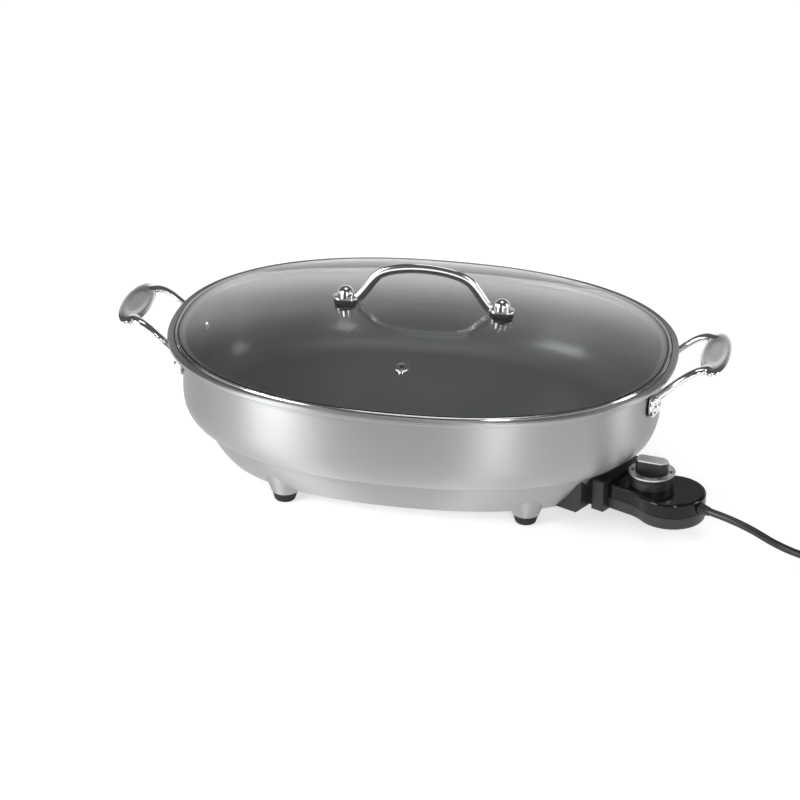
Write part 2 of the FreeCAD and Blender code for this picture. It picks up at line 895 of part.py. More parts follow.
def make_upper_shell():
    top = size("housing_top")
    split = size("housing_split")
    wall = size("housing_wall")
    shell = housing_block(0, split, top)
    shell = shell.makeFillet(size("housing_edge_round"), top_edges(shell, top))
    shell = shell.cut(housing_block(wall, split - 1, top - wall))
    for along, across in boss_spots():
        boss = Part.makeCylinder(3.2, top - wall - split, Vector(along, across, split))
        boss = boss.cut(Part.makeCylinder(1.3, top - wall - split - 2, Vector(along, across, split)))
        shell = shell.fuse(boss)
    shell = shell.cut(carrier_opening(size("hole_gap") * 2))
    shell = shell.cut(relief_groove(size("hole_gap") * 2))
    bore = Part.makeCylinder(size("spindle_radius") + size("fit_gap"), 20, Vector(dial_place(), 0, split))
    shell = shell.cut(bore)
    add_shape("control_upper_shell", shell.removeSplitter(), probe_frame())


def make_lower_shell():
    bottom = size("housing_bottom")
    split = size("housing_split") - 0.3
    wall = size("housing_wall")
    shell = housing_block(0, bottom, split)
    shell = shell.makeFillet(size("housing_edge_round"), top_edges(shell, bottom))
    shell = shell.cut(housing_block(wall, bottom + wall, split + 1))
    tongue = housing_block(0.8, split, split + 0.3).cut(housing_block(wall, split - 1, split + 1))
    shell = shell.fuse(tongue)
    for along, across in boss_spots():
        boss = Part.makeCylinder(3.2, size("housing_split") - bottom - wall, Vector(along, across, bottom + wall))
        shell = shell.fuse(boss)
    for along, across in boss_spots():
        shell = shell.cut(Part.makeCylinder(1.4, 20, Vector(along, across, bottom - 1)))
        shell = shell.cut(Part.makeCylinder(2.6, 3, Vector(along, across, bottom - 1)))
    shell = shell.cut(carrier_opening(size("hole_gap") * 2))
    shell = shell.cut(relief_groove(size("hole_gap") * 2))
    add_shape("control_lower_shell", shell.removeSplitter(), probe_frame())


def make_housing_screws():
    screws = []
    bottom = size("housing_bottom")
    for along, across in boss_spots():
        head = Part.makeCylinder(2.3, 1.6, Vector(along, across, bottom + 0.3))
        shank = Part.makeCylinder(1.25, 17, Vector(along, across, bottom + 0.3))
        screws.append(head.fuse(shank))
    add_shape("housing_screws", Part.makeCompound(screws), probe_frame())


def sleeve_start():
    return collar_face() - size("carrier_reach") + 1


def make_contact_carrier():
    centre = size("probe_height")
    half_width = size("carrier_half_width")
    half_height = size("carrier_half_height")
    start = collar_face() - size("carrier_reach")
    nose = slab(Vector(start, -half_width, centre - half_height),
                Vector(housing_start() + 11, half_width, centre + half_height))
    nose = nose.makeFillet(2, [edge for edge in nose.Edges if edge.BoundBox.XLength > 5])
    wall = size("housing_wall") + size("hole_gap") * 2
    inside = housing_start() + wall
    reach = size("housing_half_width") - wall
    flange = slab(Vector(inside, -reach, size("housing_bottom") + wall),
                  Vector(inside + 3, reach, size("housing_top") - wall))
    block = nose.fuse(flange)
    middle = Vector(start - 1, 0, centre)
    block = block.cut(rod(size("sensor_radius") + size("hole_gap"), middle, middle + Vector(60, 0, 0)))
    for side in (1, -1):
        spot = Vector(start - 1, side * size("pin_spacing") / 2, element_height())
        block = block.cut(rod(size("sleeve_radius") + size("hole_gap"), spot, spot + Vector(60, 0, 0)))
    add_shape("contact_carrier", block.removeSplitter(), probe_frame())


def make_contact_sleeves():
    sleeves = []
    for side in (1, -1):
        start = Vector(sleeve_start(), side * size("pin_spacing") / 2, element_height())
        end = start + Vector(size("sleeve_length"), 0, 0)
        sleeve = rod(size("sleeve_radius"), start, end)
        sleeve = sleeve.cut(rod(size("pin_radius") + size("fit_gap"), start, end - Vector(1.5, 0, 0)))
        sleeves.append(sleeve)
    add_shape("contact_sleeves", Part.makeCompound(sleeves), probe_frame())


def make_sensor_rod():
    body = new_body("sensor_rod")
    reach = "(sizes.sensor_reach + 12.5)"
    corners = (
        ("0", "0"),
        ("sizes.sensor_radius * 0.5", "0"),
        ("sizes.sensor_radius", "sizes.sensor_radius * 0.7"),
        ("sizes.sensor_radius", reach),
        ("0", reach),
    )
    profile = polygon_sketch(body, "sensor_profile", "XZ_Plane", corners)
    revolve(body, profile)
    tip = Vector(collar_face() - size("sensor_reach"), 0, size("probe_height"))
    lay = Placement(tip, Rotation(Vector(0, 1, 0), 90))
    body.Placement = probe_frame().multiply(lay)


def stack_start():
    return housing_start() + 14.5


def make_thermostat():
    floor = size("housing_bottom") + size("housing_wall")
    start = stack_start()
    blade_gap = 2.6
    base = slab(Vector(start, -9, floor), Vector(start + 30, 9, floor + 1.2))
    upright = slab(Vector(start, -9, floor), Vector(start + 1.2, 9, floor + 4.5))
    add_shape("thermostat_bracket", base.fuse(upright).removeSplitter(), probe_frame())
    pads = []
    blades = []
    contacts = []
    level = floor + 1.2
    for index in range(3):
        pads.append(slab(Vector(start + 2, -5, level), Vector(start + 9, 5, level + blade_gap)))
        level += blade_gap
        if index < 2:
            blades.append(slab(Vector(start + 2, -3, level), Vector(start + 27, 3, level + 0.4)))
            spot = Vector(start + 25, 0, level + 0.4)
            if index == 1:
                spot = Vector(start + 25, 0, level - 0.9)
            contacts.append(Part.makeCylinder(1.8, 0.9, spot))
            level += 0.4
    add_shape("blade_insulators", Part.makeCompound(pads), probe_frame())
    add_shape("thermostat_blades", Part.makeCompound(blades), probe_frame())
    add_shape("switch_contacts", Part.makeCompound(contacts), probe_frame())


def make_dial_collar():
    body = new_body("dial_collar")
    radius = "sizes.dial_collar_radius"
    tall = "sizes.dial_collar_height"
    bore = "(sizes.spindle_radius + sizes.fit_gap)"
    corners = (
        (bore, "0"),
        (radius, "0"),
        (radius, tall + " - 1"),
        (radius + " - 1", tall),
        (bore, tall),
    )
    profile = polygon_sketch(body, "collar_profile", "XZ_Plane", corners)
    revolve(body, profile)
    lift = Placement(Vector(dial_place(), 0, size("housing_top")), Rotation())
    body.Placement = probe_frame().multiply(lift)


def make_strain_relief():
    relief = relief_groove(0)
    wall_end = housing_end_centre() + size("housing_end_radius")
    tail = size("cord_diameter") / 2
    for index in range(3):
        along = wall_end + 1.6 + index * 2
        ring = rod(tail + 3, Vector(along, 0, relief_height()), Vector(along + 0.8, 0, relief_height()))
        ring = ring.cut(rod(tail + 0.2, Vector(along, 0, relief_height()), Vector(along + 0.8, 0, relief_height())))
        half_space = slab(Vector(along - 1, -9, relief_height()), Vector(along + 2, 9, relief_height() + 9))
        relief = relief.cut(ring.common(half_space))
    add_shape("strain_relief", relief.removeSplitter(), probe_frame())


# Knob


def knob_floor():
    return size("housing_top") + size("dial_collar_height") + size("fit_gap")


def place_on_dial(item, height, turned=0.0):
    spot = Placement(Vector(dial_place(), 0, height), Rotation(Vector(0, 0, 1), turned))
    item.Placement = probe_frame().multiply(spot)


def make_knob_grip():
    body = new_body("knob_grip")
    disc = circle_sketch(body, "grip_disc", "XY_Plane", (("0", "0", "sizes.dial_radius - 0.3"),))
    pad(body, disc, "sizes.dial_base_thickness")
    half_long = "(sizes.grip_length / 2)"
    half_wide = "(sizes.grip_width / 2)"
    corners = (
        ("-" + half_long + " + 2", "-" + half_wide),
        (half_long + " - 4", "-" + half_wide),
        (half_long, "-" + half_wide + " + 3.5"),
        (half_long, half_wide + " - 3.5"),
        (half_long + " - 4", half_wide),
        ("-" + half_long + " + 2", half_wide),
        ("-" + half_long, half_wide + " - 2"),
        ("-" + half_long, "-" + half_wide + " + 2"),
    )
    bar = polygon_sketch(body, "grip_bar", "XY_Plane", corners)
    pad(body, bar, "sizes.dial_base_thickness + sizes.grip_height")
    place_on_dial(body, knob_floor(), size("grip_turn"))


def make_knob_cap():
    body = new_body("knob_cap")
    half_long = "(sizes.grip_length / 2 - 0.2)"
    half_wide = "(sizes.grip_width / 2 - 0.2)"
    corners = (
        ("-" + half_long + " + 2", "-" + half_wide),
        (half_long + " - 4", "-" + half_wide),
        (half_long, "-" + half_wide + " + 3.5"),
        (half_long, half_wide + " - 3.5"),
        (half_long + " - 4", half_wide),
        ("-" + half_long + " + 2", half_wide),
        ("-" + half_long, half_wide + " - 2"),
        ("-" + half_long, "-" + half_wide + " + 2"),
    )
    face = polygon_sketch(body, "cap_face", "XY_Plane", corners)
    feature = pad(body, face, "sizes.grip_cap_thickness")
    chamfer = body.newObject("PartDesign::Chamfer", "cap_chamfer")
    chamfer.Base = (feature, ["Face%d" % (1 + top_face_index(feature.Shape))])
    chamfer.Size = 0.6
    document.recompute()
    place_on_dial(body, knob_floor() + size("dial_base_thickness") + size("grip_height"), size("grip_turn"))


def top_face_index(shape):
    heights = [face.CenterOfMass.z for face in shape.Faces]
    return heights.index(max(heights))


def make_dial_ring():
    body = new_body("dial_ring")
    rings = (("0", "0", "sizes.dial_radius"), ("0", "0", "sizes.dial_radius - sizes.dial_ring_width"))
    face = circle_sketch(body, "ring_face", "XY_Plane", rings)
    pad(body, face, "sizes.dial_ring_thickness")
    place_on_dial(body, knob_floor() + size("dial_base_thickness"))


def make_knob_spindle():
    spindle = document.addObject("Part::Cylinder", "knob_spindle")
    spindle.setExpression("Radius", "sizes.spindle_radius")
    spindle.setExpression("Height", "sizes.housing_top + sizes.dial_collar_height + sizes.fit_gap "
                                    "- sizes.housing_split - 3.2")
    keep(spindle, "knob_spindle")
    place_on_dial(spindle, size("housing_split") + 3.2)


# Cord and plug


def cord_exit():
    wall_end = housing_end_centre() + size("housing_end_radius")
    return on_probe(wall_end + size("relief_length"), 0, relief_height())


def coil_centre():
    return Vector(376, -60, size("cord_diameter") / 2 + 0.05)


def cord_route():
    start = cord_exit()
    turn = math.radians(-size("probe_angle"))
    heading = Vector(math.cos(turn), math.sin(turn), 0)
    centre = coil_centre()
    entry_north = centre.y - size("coil_radius")
    return [
        start,
        start + heading * 27,
        Vector(301, -108, 15),
        Vector(337, entry_north, centre.z),
        Vector(centre.x - 8, entry_north, centre.z),
    ]


def make_power_cord():
    route = cord_route()
    path, radii = rounded_path(route, lambda shorter, half_turn: 0.45 * shorter / math.tan(half_turn))
    tube = tube_along(path, size("cord_diameter") / 2)
    expected = math.pi * (size("cord_diameter") / 2) ** 2 * path.Length
    print("cord bend radii", [round(radius, 1) for radius in radii], "run length", round(path.Length, 1))
    print("cord volume against section times length", round(tube.Volume / expected, 5))
    add_shape("power_cord", tube)
    return path.Length


def tangent_arc(start, corner, end):
    """Arc from start to end whose tangents meet at the corner, both tangents being equally long."""
    middle = (start + end) * 0.5
    half_chord = (end - start).Length / 2
    tangent = (corner - start).Length
    lift = corner - middle
    radius = half_chord * tangent / lift.Length
    sag = radius * (1 - half_chord / tangent)
    return Part.Arc(start, middle + lift.normalize() * sag, end).toShape()


def half_turn_edges(start, radius, side, climb):
    """Half a turn as two tangent quarter arcs; side is 1 for the upper half and -1 for the lower half."""
    reach = math.sqrt(radius ** 2 + climb ** 2 / 4)
    heading = Vector(0, side * reach, 0)
    end = start + Vector(-2 * side * radius, 0, climb)
    joint = (start + end) * 0.5 + heading
    return [tangent_arc(start, start + heading, joint), tangent_arc(joint, end + heading, end)], end


def coil_edges():
    pitch = (size("cord_diameter") + size("coil_gap")) / 2
    outer = size("coil_radius")
    layer = size("cord_diameter") + 0.5
    radii = (outer, outer - pitch, outer - 2 * pitch, outer - pitch, outer, outer + pitch)
    climbs = (0, 0, layer, 0, 0, 0)
    spot = Vector(outer, 0, 0)
    edges = [Part.LineSegment(spot - Vector(0, 8, 0), spot).toShape()]
    side = 1
    for radius, climb in zip(radii, climbs):
        arcs, spot = half_turn_edges(spot, radius, side, climb)
        edges.extend(arcs)
        side = -side
    edges.append(Part.LineSegment(spot, spot + Vector(0, size("coil_tail"), 0)).toShape())
    return edges


def least_coil_gap(edges):
    """Smallest gap between stretches of the coil that lie over one and a half diameters apart along it."""
    points = []
    run = 0.0
    for edge in edges:
        steps = max(4, int(edge.Length / 2))
        for step in range(steps):
            share = edge.FirstParameter + (edge.LastParameter - edge.FirstParameter) * step / steps
            points.append((run + edge.Length * step / steps, edge.valueAt(share)))
        run += edge.Length
    diameter = size("cord_diameter")
    least = min(
        first[1].distanceToPoint(second[1])
        for place, first in enumerate(points)
        for second in points[place + 1:]
        if second[0] - first[0] > diameter * 4
    )
    return least - diameter


def make_cord_coil():
    edges = coil_edges()
    path = Part.Wire(edges)
    tube = tube_along(path, size("cord_diameter") / 2)
    expected = math.pi * (size("cord_diameter") / 2) ** 2 * path.Length
    print("coil least gap", round(least_coil_gap(edges), 3), "length", round(path.Length, 1),
          "volume ratio", round(tube.Volume / expected, 5))
    turned = Placement(coil_centre(), Rotation(Vector(0, 0, 1), -90))
    add_shape("cord_coil", tube, turned)
    return path.Length


def plug_face():
    pitch = (size("cord_diameter") + size("coil_gap")) / 2
    centre = coil_centre()
    height = centre.z + size("cord_diameter") + 0.5
    return Vector(centre.x + size("coil_tail"), centre.y - size("coil_radius") - 2 * pitch, height)


def make_plug():
    face = plug_face()
    length = size("plug_length")
    wide = size("plug_width") / 2
    thick = min(size("plug_thickness") / 2, face.z - 0.05)
    stations = ((0, 5.2, 5.2), (0.3, 6.2, 6.2), (0.55, wide * 0.86, thick), (1, wide, thick))
    wires = []
    for share, half_y, half_z in stations:
        wires.append(rounded_rectangle(length * share, half_y, half_z))
    body = Part.makeLoft(wires, True, True)
    place = Placement(face, Rotation())
    blades = []
    for side in (1, -1):
        centre = side * size("blade_spacing") / 2
        slot = slab(Vector(length - 6, centre - 0.8, -3.2), Vector(length + 1, centre + 0.8, 3.2))
        body = body.cut(slot)
        blade = slab(Vector(length - 6, centre - 0.75, -3.15), Vector(length + size("blade_length"), centre + 0.75, 3.15))
        hole = Part.makeCylinder(1.5, 4, Vector(length + size("blade_length") - 5, centre - 2, 0), Vector(0, 1, 0))
        blades.append(blade.cut(hole))
    add_shape("plug_body", body, place)
    add_shape("plug_blades", Part.makeCompound(blades), place)


def rounded_rectangle(along, half_y, half_z):
    corner = min(half_y, half_z) * 0.62
    outline = Part.makePolygon([
        Vector(along, -half_y, -half_z),
        Vector(along, half_y, -half_z),
        Vector(along, half_y, half_z),
        Vector(along, -half_y, half_z),
        Vector(along, -half_y, -half_z),
    ])
    face = Part.Face(outline).extrude(Vector(1, 0, 0))
    rails = [edge for edge in face.Edges if edge.BoundBox.XLength > 0.5]
    block = face.makeFillet(corner, rails)
    ends = [side for side in block.Faces if abs(side.CenterOfMass.x - along) < 1e-6]
    return ends[0].OuterWire


# Lid


def ledge_height():
    return size("rim_height") - size("ledge_drop")


def ring_inset():
    return size("rim_flat_width") + size("lid_gap")


def glass_inset():
    return ring_inset() + size("ring_wall")


def glass_bottom():
    return ledge_height() + size("ring_wall")


def dome_top(share):
    return glass_bottom() + size("glass_thickness") + size("dome_rise") * (1 - share ** 2)


def dome_solid(drop, inset):
    """The dome's space under its upper surface, from the glass's edge up."""
    half_length = size("rim_half_length") - glass_inset() - inset
    half_width = size("rim_half_width") - glass_inset() - inset
    wires = [oval_wire(half_length * share, half_width * share, dome_top(share) - drop) for share in DOME_LEVELS]
    return Part.makeLoft(wires, True, False)


def lid_space():
    """Everything up to the glass's upper surface."""
    return oval_block(glass_inset(), glass_bottom(), glass_bottom() + size("glass_thickness")).fuse(dome_solid(0, 0))


def dome_height_at(east, north):
    power = size("oval_power")
    half_length = size("rim_half_length") - glass_inset()
    half_width = size("rim_half_width") - glass_inset()
    share = (abs(east / half_length) ** power + abs(north / half_width) ** power) ** (1 / power)
    return dome_top(share)


def bolt_places():
    return (size("bolt_spacing") / 2, -size("bolt_spacing") / 2)


def vent_place():
    north = -size("vent_offset")
    step = 0.5
    slope = (dome_height_at(0, north + step) - dome_height_at(0, north - step)) / (2 * step)
    tilt = math.degrees(math.atan(slope))
    return Placement(Vector(0, north, dome_height_at(0, north)), Rotation(Vector(1, 0, 0), tilt))


def bare_glass():
    thickness = size("glass_thickness")
    return lid_space().cut(dome_solid(thickness, thickness))


def glass_depth_at_vent():
    """How thick the glass is square to its face at the steam vent."""
    line = Part.makeLine(Vector(0, 0, -size("dome_rise")), Vector(0, 0, size("glass_thickness")))
    line.Placement = vent_place()
    return line.common(bare_glass()).Length


def make_lid_glass():
    glass = bare_glass()
    for east in bolt_places():
        glass = glass.cut(Part.makeCylinder(size("bolt_radius") + 0.6, 60, Vector(east, 0, size("rim_height"))))
    hole = Part.makeCylinder(size("vent_radius") * 0.62, 30)
    hole.Placement = vent_place().multiply(Placement(Vector(0, 0, -15), Rotation()))
    glass = glass.cut(hole)
    add_shape("lid_glass", glass)


def make_lid_ring():
    top = glass_bottom() + size("glass_thickness") + size("ring_wall")
    ring = oval_block(ring_inset(), ledge_height(), top)
    ring = ring.cut(oval_block(ring_inset() + size("ring_width"), ledge_height() - 1, top + 1))
    ring = ring.cut(lid_space())
    add_shape("lid_ring", ring)


def tab_underside():
    return dome_top(0) - 0.1 * size("dome_rise") + size("spacer_depth")


def tab_shape(side, bottom, top, trim):
    centre = side * size("bolt_spacing") / 2
    half_long = size("tab_length") / 2 - trim
    half_wide = size("tab_width") / 2 - trim
    block = slab(Vector(centre - half_long, -half_wide, bottom), Vector(centre + half_long, half_wide, top))
    corners = [edge for edge in block.Edges if edge.BoundBox.ZLength > (top - bottom) * 0.9]
    outer = [edge for edge in corners if edge.CenterOfMass.x * side > centre * side]
    return block.makeFillet(half_wide * 0.8, outer)


def make_lid_handle():
    base = tab_underside() + size("tab_thickness") / 2
    foot = size("bolt_spacing") / 2 - size("tab_length") / 2 + 1.8
    shoulder = size("lid_shoulder_spacing") / 2
    points = [
        Vector(-foot - 5, 0, base),
        Vector(-foot, 0, base),
        Vector(-shoulder, 0, base + size("lid_shoulder_rise")),
        Vector(0, 0, base + size("lid_bar_rise")),
        Vector(shoulder, 0, base + size("lid_shoulder_rise")),
        Vector(foot, 0, base),
        Vector(foot + 5, 0, base),
    ]

    def radius_at(shorter, half_turn):
        return min(0.45 * shorter / math.tan(half_turn), size("lid_bar_bend"))

    path, radii = rounded_path(points, radius_at)
    half_wide = size("lid_bar_width") / 2
    half_thick = size("lid_bar_thickness") / 2
    section = Part.Ellipse(points[0] + Vector(0, half_wide, 0), points[0] + Vector(0, 0, half_thick), points[0])
    bar = path.makePipeShell([Part.Wire([section.toShape()])], True, False)
    for side in (1, -1):
        tab = tab_shape(side, tab_underside(), tab_underside() + size("tab_thickness"), 0)
        bar = bar.fuse(tab)
    for east in bolt_places():
        bar = bar.cut(Part.makeCylinder(size("bolt_radius") + size("hole_gap"), 40, Vector(east, 0, base - 20)))
        top = tab_underside() + size("tab_thickness")
        bar = bar.cut(Part.makeCylinder(size("nut_radius") + 0.2, 8, Vector(east, 0, top)))
    under = slab(Vector(-90, -20, tab_underside() - 20), Vector(90, 20, tab_underside()))
    bar = bar.cut(under)
    add_shape("lid_handle", bar.removeSplitter())


def make_lid_spacers():
    pieces = []
    for side in (1, -1):
        strip = tab_shape(side, tab_underside() - 8, tab_underside(), 0.8)
        strip = strip.cut(lid_space())
        east = side * size("bolt_spacing") / 2
        strip = strip.cut(Part.makeCylinder(size("bolt_radius") + size("hole_gap"), 60, Vector(east, 0, 100)))
        pieces.append(max(strip.Solids, key=lambda solid: solid.Volume))
    add_shape("handle_spacers", Part.makeCompound(pieces))


def washer_bottom():
    return dome_top(0) - 0.1 * size("dome_rise") - size("glass_thickness") - 2.6


def make_lid_washers():
    pieces = []
    glass_under = dome_solid(size("glass_thickness"), size("glass_thickness"))
    for east in bolt_places():
        disc = Part.makeCylinder(8, 8, Vector(east, 0, washer_bottom()))
        disc = disc.common(glass_under)
        disc = disc.cut(Part.makeCylinder(size("bolt_radius") + size("hole_gap"), 60, Vector(east, 0, 100)))
        pieces.append(disc.Solids[0])
    add_shape("sealing_washers", Part.makeCompound(pieces))


def make_lid_bolts():
    bolts = []
    top = tab_underside() + size("tab_thickness") + 4.5
    for east in bolt_places():
        shank = Part.makeCylinder(size("bolt_radius"), top - washer_bottom(), Vector(east, 0, washer_bottom()))
        head = Part.makeCylinder(size("bolt_radius") * 2, 2.2, Vector(east, 0, washer_bottom() - 2.2))
        bolts.append(shank.fuse(head))
    add_shape("handle_bolts", Part.makeCompound(bolts))


def make_acorn_nuts():
    nuts = []
    base = tab_underside() + size("tab_thickness")
    radius = size("nut_radius")
    skirt = size("nut_height") * 0.4
    for east in bolt_places():
        barrel = Part.makeCylinder(radius, skirt, Vector(east, 0, base))
        crown = bead(radius, size("nut_height") - skirt, Vector(east, 0, base + skirt), Vector(0, 0, 1))
        nut = barrel.fuse(crown)
        nuts.append(nut.cut(Part.makeCylinder(size("bolt_radius") + size("hole_gap"), 4.6, Vector(east, 0, base))))
    add_shape("acorn_nuts", Part.makeCompound(nuts))


def make_vent_eyelet():
    body = new_body("vent_eyelet")
    bore = "sizes.vent_bore"
    wide = "sizes.vent_radius"
    barrel = "(sizes.vent_radius * 0.62 - sizes.hole_gap * 2)"
    under = "-(%.3f + sizes.fit_gap)" % glass_depth_at_vent()
    corners = (
        (bore, under + " - 1"),
        (wide + " - 1", under + " - 1"),
        (wide + " - 0.4", under),
        (barrel, under),
        (barrel, "0.2"),
        (wide, "0.2"),
        (wide + " - 0.5", "1.3"),
        (bore + " + 1.4", "1.7"),
        (bore, "0.9"),
    )
    profile = polygon_sketch(body, "eyelet_profile", "XZ_Plane", corners)
    revolve(body, profile)
    body.Placement = vent_place()


# Build, check and write


def build():
    fill_sheet()
    make_pan()
    make_side_handles()
    make_handle_rivets()
    make_skirt()
    make_feet()
    make_foot_screws()
    make_bottom_cover()
    make_cover_screws()
    make_heat_plate()
    make_heating_element()
    make_terminals()
    make_socket_guard()
    make_guard_screws()
    make_upper_shell()
    make_lower_shell()
    make_housing_screws()
    make_contact_carrier()
    make_contact_sleeves()
    make_sensor_rod()
    make_thermostat()
    make_dial_collar()
    make_strain_relief()
    make_knob_grip()
    make_knob_cap()
    make_dial_ring()
    make_knob_spindle()
    free_run = make_power_cord()
    coiled = make_cord_coil()
    print("cord length in all", round(free_run + coiled, 1))
    make_plug()
    make_lid_glass()
    make_lid_ring()
    make_lid_handle()
    make_lid_spacers()
    make_lid_washers()
    make_lid_bolts()
    make_acorn_nuts()
    make_vent_eyelet()
    document.recompute()


def check():
    for item in document.Objects:
        if "Invalid" in item.State or "Error" in item.State:
            raise RuntimeError("failed object: " + item.Label)
    for item in nodes:
        if item.Shape.isNull() or not item.Shape.isValid():
            raise RuntimeError("bad shape: " + item.Label)
        if not item.Shape.Solids:
            raise RuntimeError("no solid in: " + item.Label)
        if min(solid.Volume for solid in item.Shape.Solids) <= 0:
            raise RuntimeError("inside-out solid in: " + item.Label)


def write():
    os.makedirs("parts", exist_ok=True)
    for item in nodes:
        item.Shape.exportStep("parts/" + item.Label + ".step")
        print(item.Label, len(item.Shape.Solids), round(item.Shape.Volume, 1))


build()
check()
write()
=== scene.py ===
"""Electric skillet with a lift-off glass lid: its finishes, cord, dial markings, light and camera.

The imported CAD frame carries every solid. Lengths are in metres, X runs along the pan and -Y is the front.
"""

import logging
import math
from collections.abc import Sequence
from dataclasses import dataclass, field
from enum import Enum

import bmesh
import bpy
from mathutils import Matrix, Vector


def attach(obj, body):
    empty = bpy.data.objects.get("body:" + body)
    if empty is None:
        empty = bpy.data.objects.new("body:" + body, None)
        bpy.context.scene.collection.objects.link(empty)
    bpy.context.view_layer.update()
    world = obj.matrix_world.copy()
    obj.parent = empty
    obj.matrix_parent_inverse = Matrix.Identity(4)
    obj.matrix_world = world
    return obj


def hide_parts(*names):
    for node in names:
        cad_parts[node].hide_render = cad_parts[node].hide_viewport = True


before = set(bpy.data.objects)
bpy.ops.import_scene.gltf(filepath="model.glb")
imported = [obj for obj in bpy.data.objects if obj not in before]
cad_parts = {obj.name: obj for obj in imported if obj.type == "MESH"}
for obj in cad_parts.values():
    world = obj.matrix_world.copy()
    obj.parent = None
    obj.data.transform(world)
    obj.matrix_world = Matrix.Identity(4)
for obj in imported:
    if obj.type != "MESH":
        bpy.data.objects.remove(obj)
log = logging.getLogger("skillet")

Colour = tuple[float, float, float]


# Shader maths


class Reading:
    """A node's number output that takes part in Python sums."""

    def __init__(self, plan: "NodePlan", socket: bpy.types.NodeSocket) -> None:
        """Wraps one socket.

        Args:
            plan: The tree that new Math nodes go into.
            socket: The output that is read.
        """
        self.plan = plan
        self.socket = socket

    def joined(self, operation: str, first: object, second: object) -> "Reading":
        """Adds one Math node.

        Args:
            operation: The Math node's operation.
            first: Its first number or reading.
            second: Its second number or reading.

        Returns:
            The node's result.
        """
        settings = {"operation": operation}
        return self.plan.read(self.plan.node("ShaderNodeMath", settings, {0: first, 1: second}))

    def __add__(self, other: object) -> "Reading":
        """Sum."""
        return self.joined("ADD", self, other)

    def __radd__(self, other: object) -> "Reading":
        """Sum with a number on the left."""
        return self.joined("ADD", other, self)

    def __sub__(self, other: object) -> "Reading":
        """Difference."""
        return self.joined("SUBTRACT", self, other)

    def __rsub__(self, other: object) -> "Reading":
        """Difference from a number on the left."""
        return self.joined("SUBTRACT", other, self)

    def __mul__(self, other: object) -> "Reading":
        """Product."""
        return self.joined("MULTIPLY", self, other)

    def __rmul__(self, other: object) -> "Reading":
        """Product with a number on the left."""
        return self.joined("MULTIPLY", other, self)

    def __truediv__(self, other: object) -> "Reading":
        """Quotient."""
        return self.joined("DIVIDE", self, other)

    def larger(self, other: object) -> "Reading":
        """The larger of two readings."""
        return self.joined("MAXIMUM", self, other)

    def ramp(self, low: float, high: float) -> "Reading":
        """Soft step from 0 to 1.

        Args:
            low: Reading where the step starts.
            high: Reading where it ends.

        Returns:
            The step, kept between 0 and 1.
        """
        settings = {"interpolation_type": "SMOOTHSTEP"}
        values = {"Value": self, "From Min": low, "From Max": high}
        return self.plan.read(self.plan.node("ShaderNodeMapRange", settings, values))


class NodePlan:
    """The nodes of one material or world."""

    def __init__(self, tree: bpy.types.NodeTree) -> None:
        """Empties a tree and keeps it.

        Args:
            tree: The node tree to fill.
        """
        tree.nodes.clear()
        self.tree = tree

    def node(self, kind: str, settings: dict | None = None, inputs: dict | None = None) -> bpy.types.Node:
        """Adds any node.

        Args:
            kind: The node's type name.
            settings: Attributes that are set first; "stops" holds a ramp's (place, colour) pairs.
            inputs: A number, colour, socket or reading for each named or numbered input.

        Returns:
            The new node.
        """
        made = self.tree.nodes.new(kind)
        for name, choice in (settings or {}).items():
            if name == "stops":
                ramp = made.color_ramp.elements
                for index, (place, colour) in enumerate(choice):
                    stop = ramp[index] if index < 2 else ramp.new(place)
                    stop.position = place
                    stop.color = (*colour, 1)
            else:
                setattr(made, name, choice)
        for name, value in (inputs or {}).items():
            if isinstance(value, Reading):
                self.tree.links.new(value.socket, made.inputs[name])
            elif isinstance(value, bpy.types.NodeSocket):
                self.tree.links.new(value, made.inputs[name])
            else:
                made.inputs[name].default_value = value
        return made

    def read(self, node: bpy.types.Node, output: int | str = 0) -> Reading:
        """Reading of one of a node's outputs."""
        return Reading(self, node.outputs[output])

    def coordinates(self, output: str = "Object") -> bpy.types.NodeSocket:
        """Object-space place or normal of the surface."""
        return self.node("ShaderNodeTexCoord").outputs[output]

    def axes(self, vector: bpy.types.NodeSocket) -> tuple[Reading, Reading, Reading]:
        """X, Y and Z readings of a vector."""
        parts = self.node("ShaderNodeSeparateXYZ", None, {"Vector": vector})
        return self.read(parts, 0), self.read(parts, 1), self.read(parts, 2)

    def noise(self, scale: Sequence[float], detail: float = 3.0) -> Reading:
        """Noise over the object.

        Args:
            scale: Patches per metre along X, Y and Z.
            detail: Octaves of finer noise.

        Returns:
            The noise, about 0.5 on average.
        """
        stretching = {"Vector": self.coordinates(), "Scale": tuple(scale)}
        stretched = self.node("ShaderNodeMapping", None, stretching)
        values = {"Vector": stretched.outputs[0], "Scale": 1.0, "Detail": detail}
        return self.read(self.node("ShaderNodeTexNoise", {"noise_dimensions": "3D"}, values))

    def blend(self, share: Reading, first: object, second: object) -> bpy.types.NodeSocket:
        """Mixes two colours.

        Args:
            share: How much of the second colour shows.
            first: A colour or colour socket.
            second: A colour or colour socket.

        Returns:
            The mixed colour.
        """
        def full(colour: object) -> object:
            """A colour with its alpha, or the socket as it is."""
            return (*colour, 1.0) if isinstance(colour, tuple) else colour

        made = self.node("ShaderNodeMix", {"data_type": "RGBA"}, {0: share, 6: full(first), 7: full(second)})
        return made.outputs[2]

    def bump(self, height: Reading, depth: float, strength: float = 1.0) -> bpy.types.NodeSocket:
        """Normal of a finely uneven surface.

        Args:
            height: Height of the surface, 0 to 1.
            depth: Real height of 1, in metres.
            strength: Share of the effect.

        Returns:
            The normal.
        """
        values = {"Height": height, "Distance": depth, "Strength": strength}
        return self.node("ShaderNodeBump", None, values).outputs[0]


# Finishes


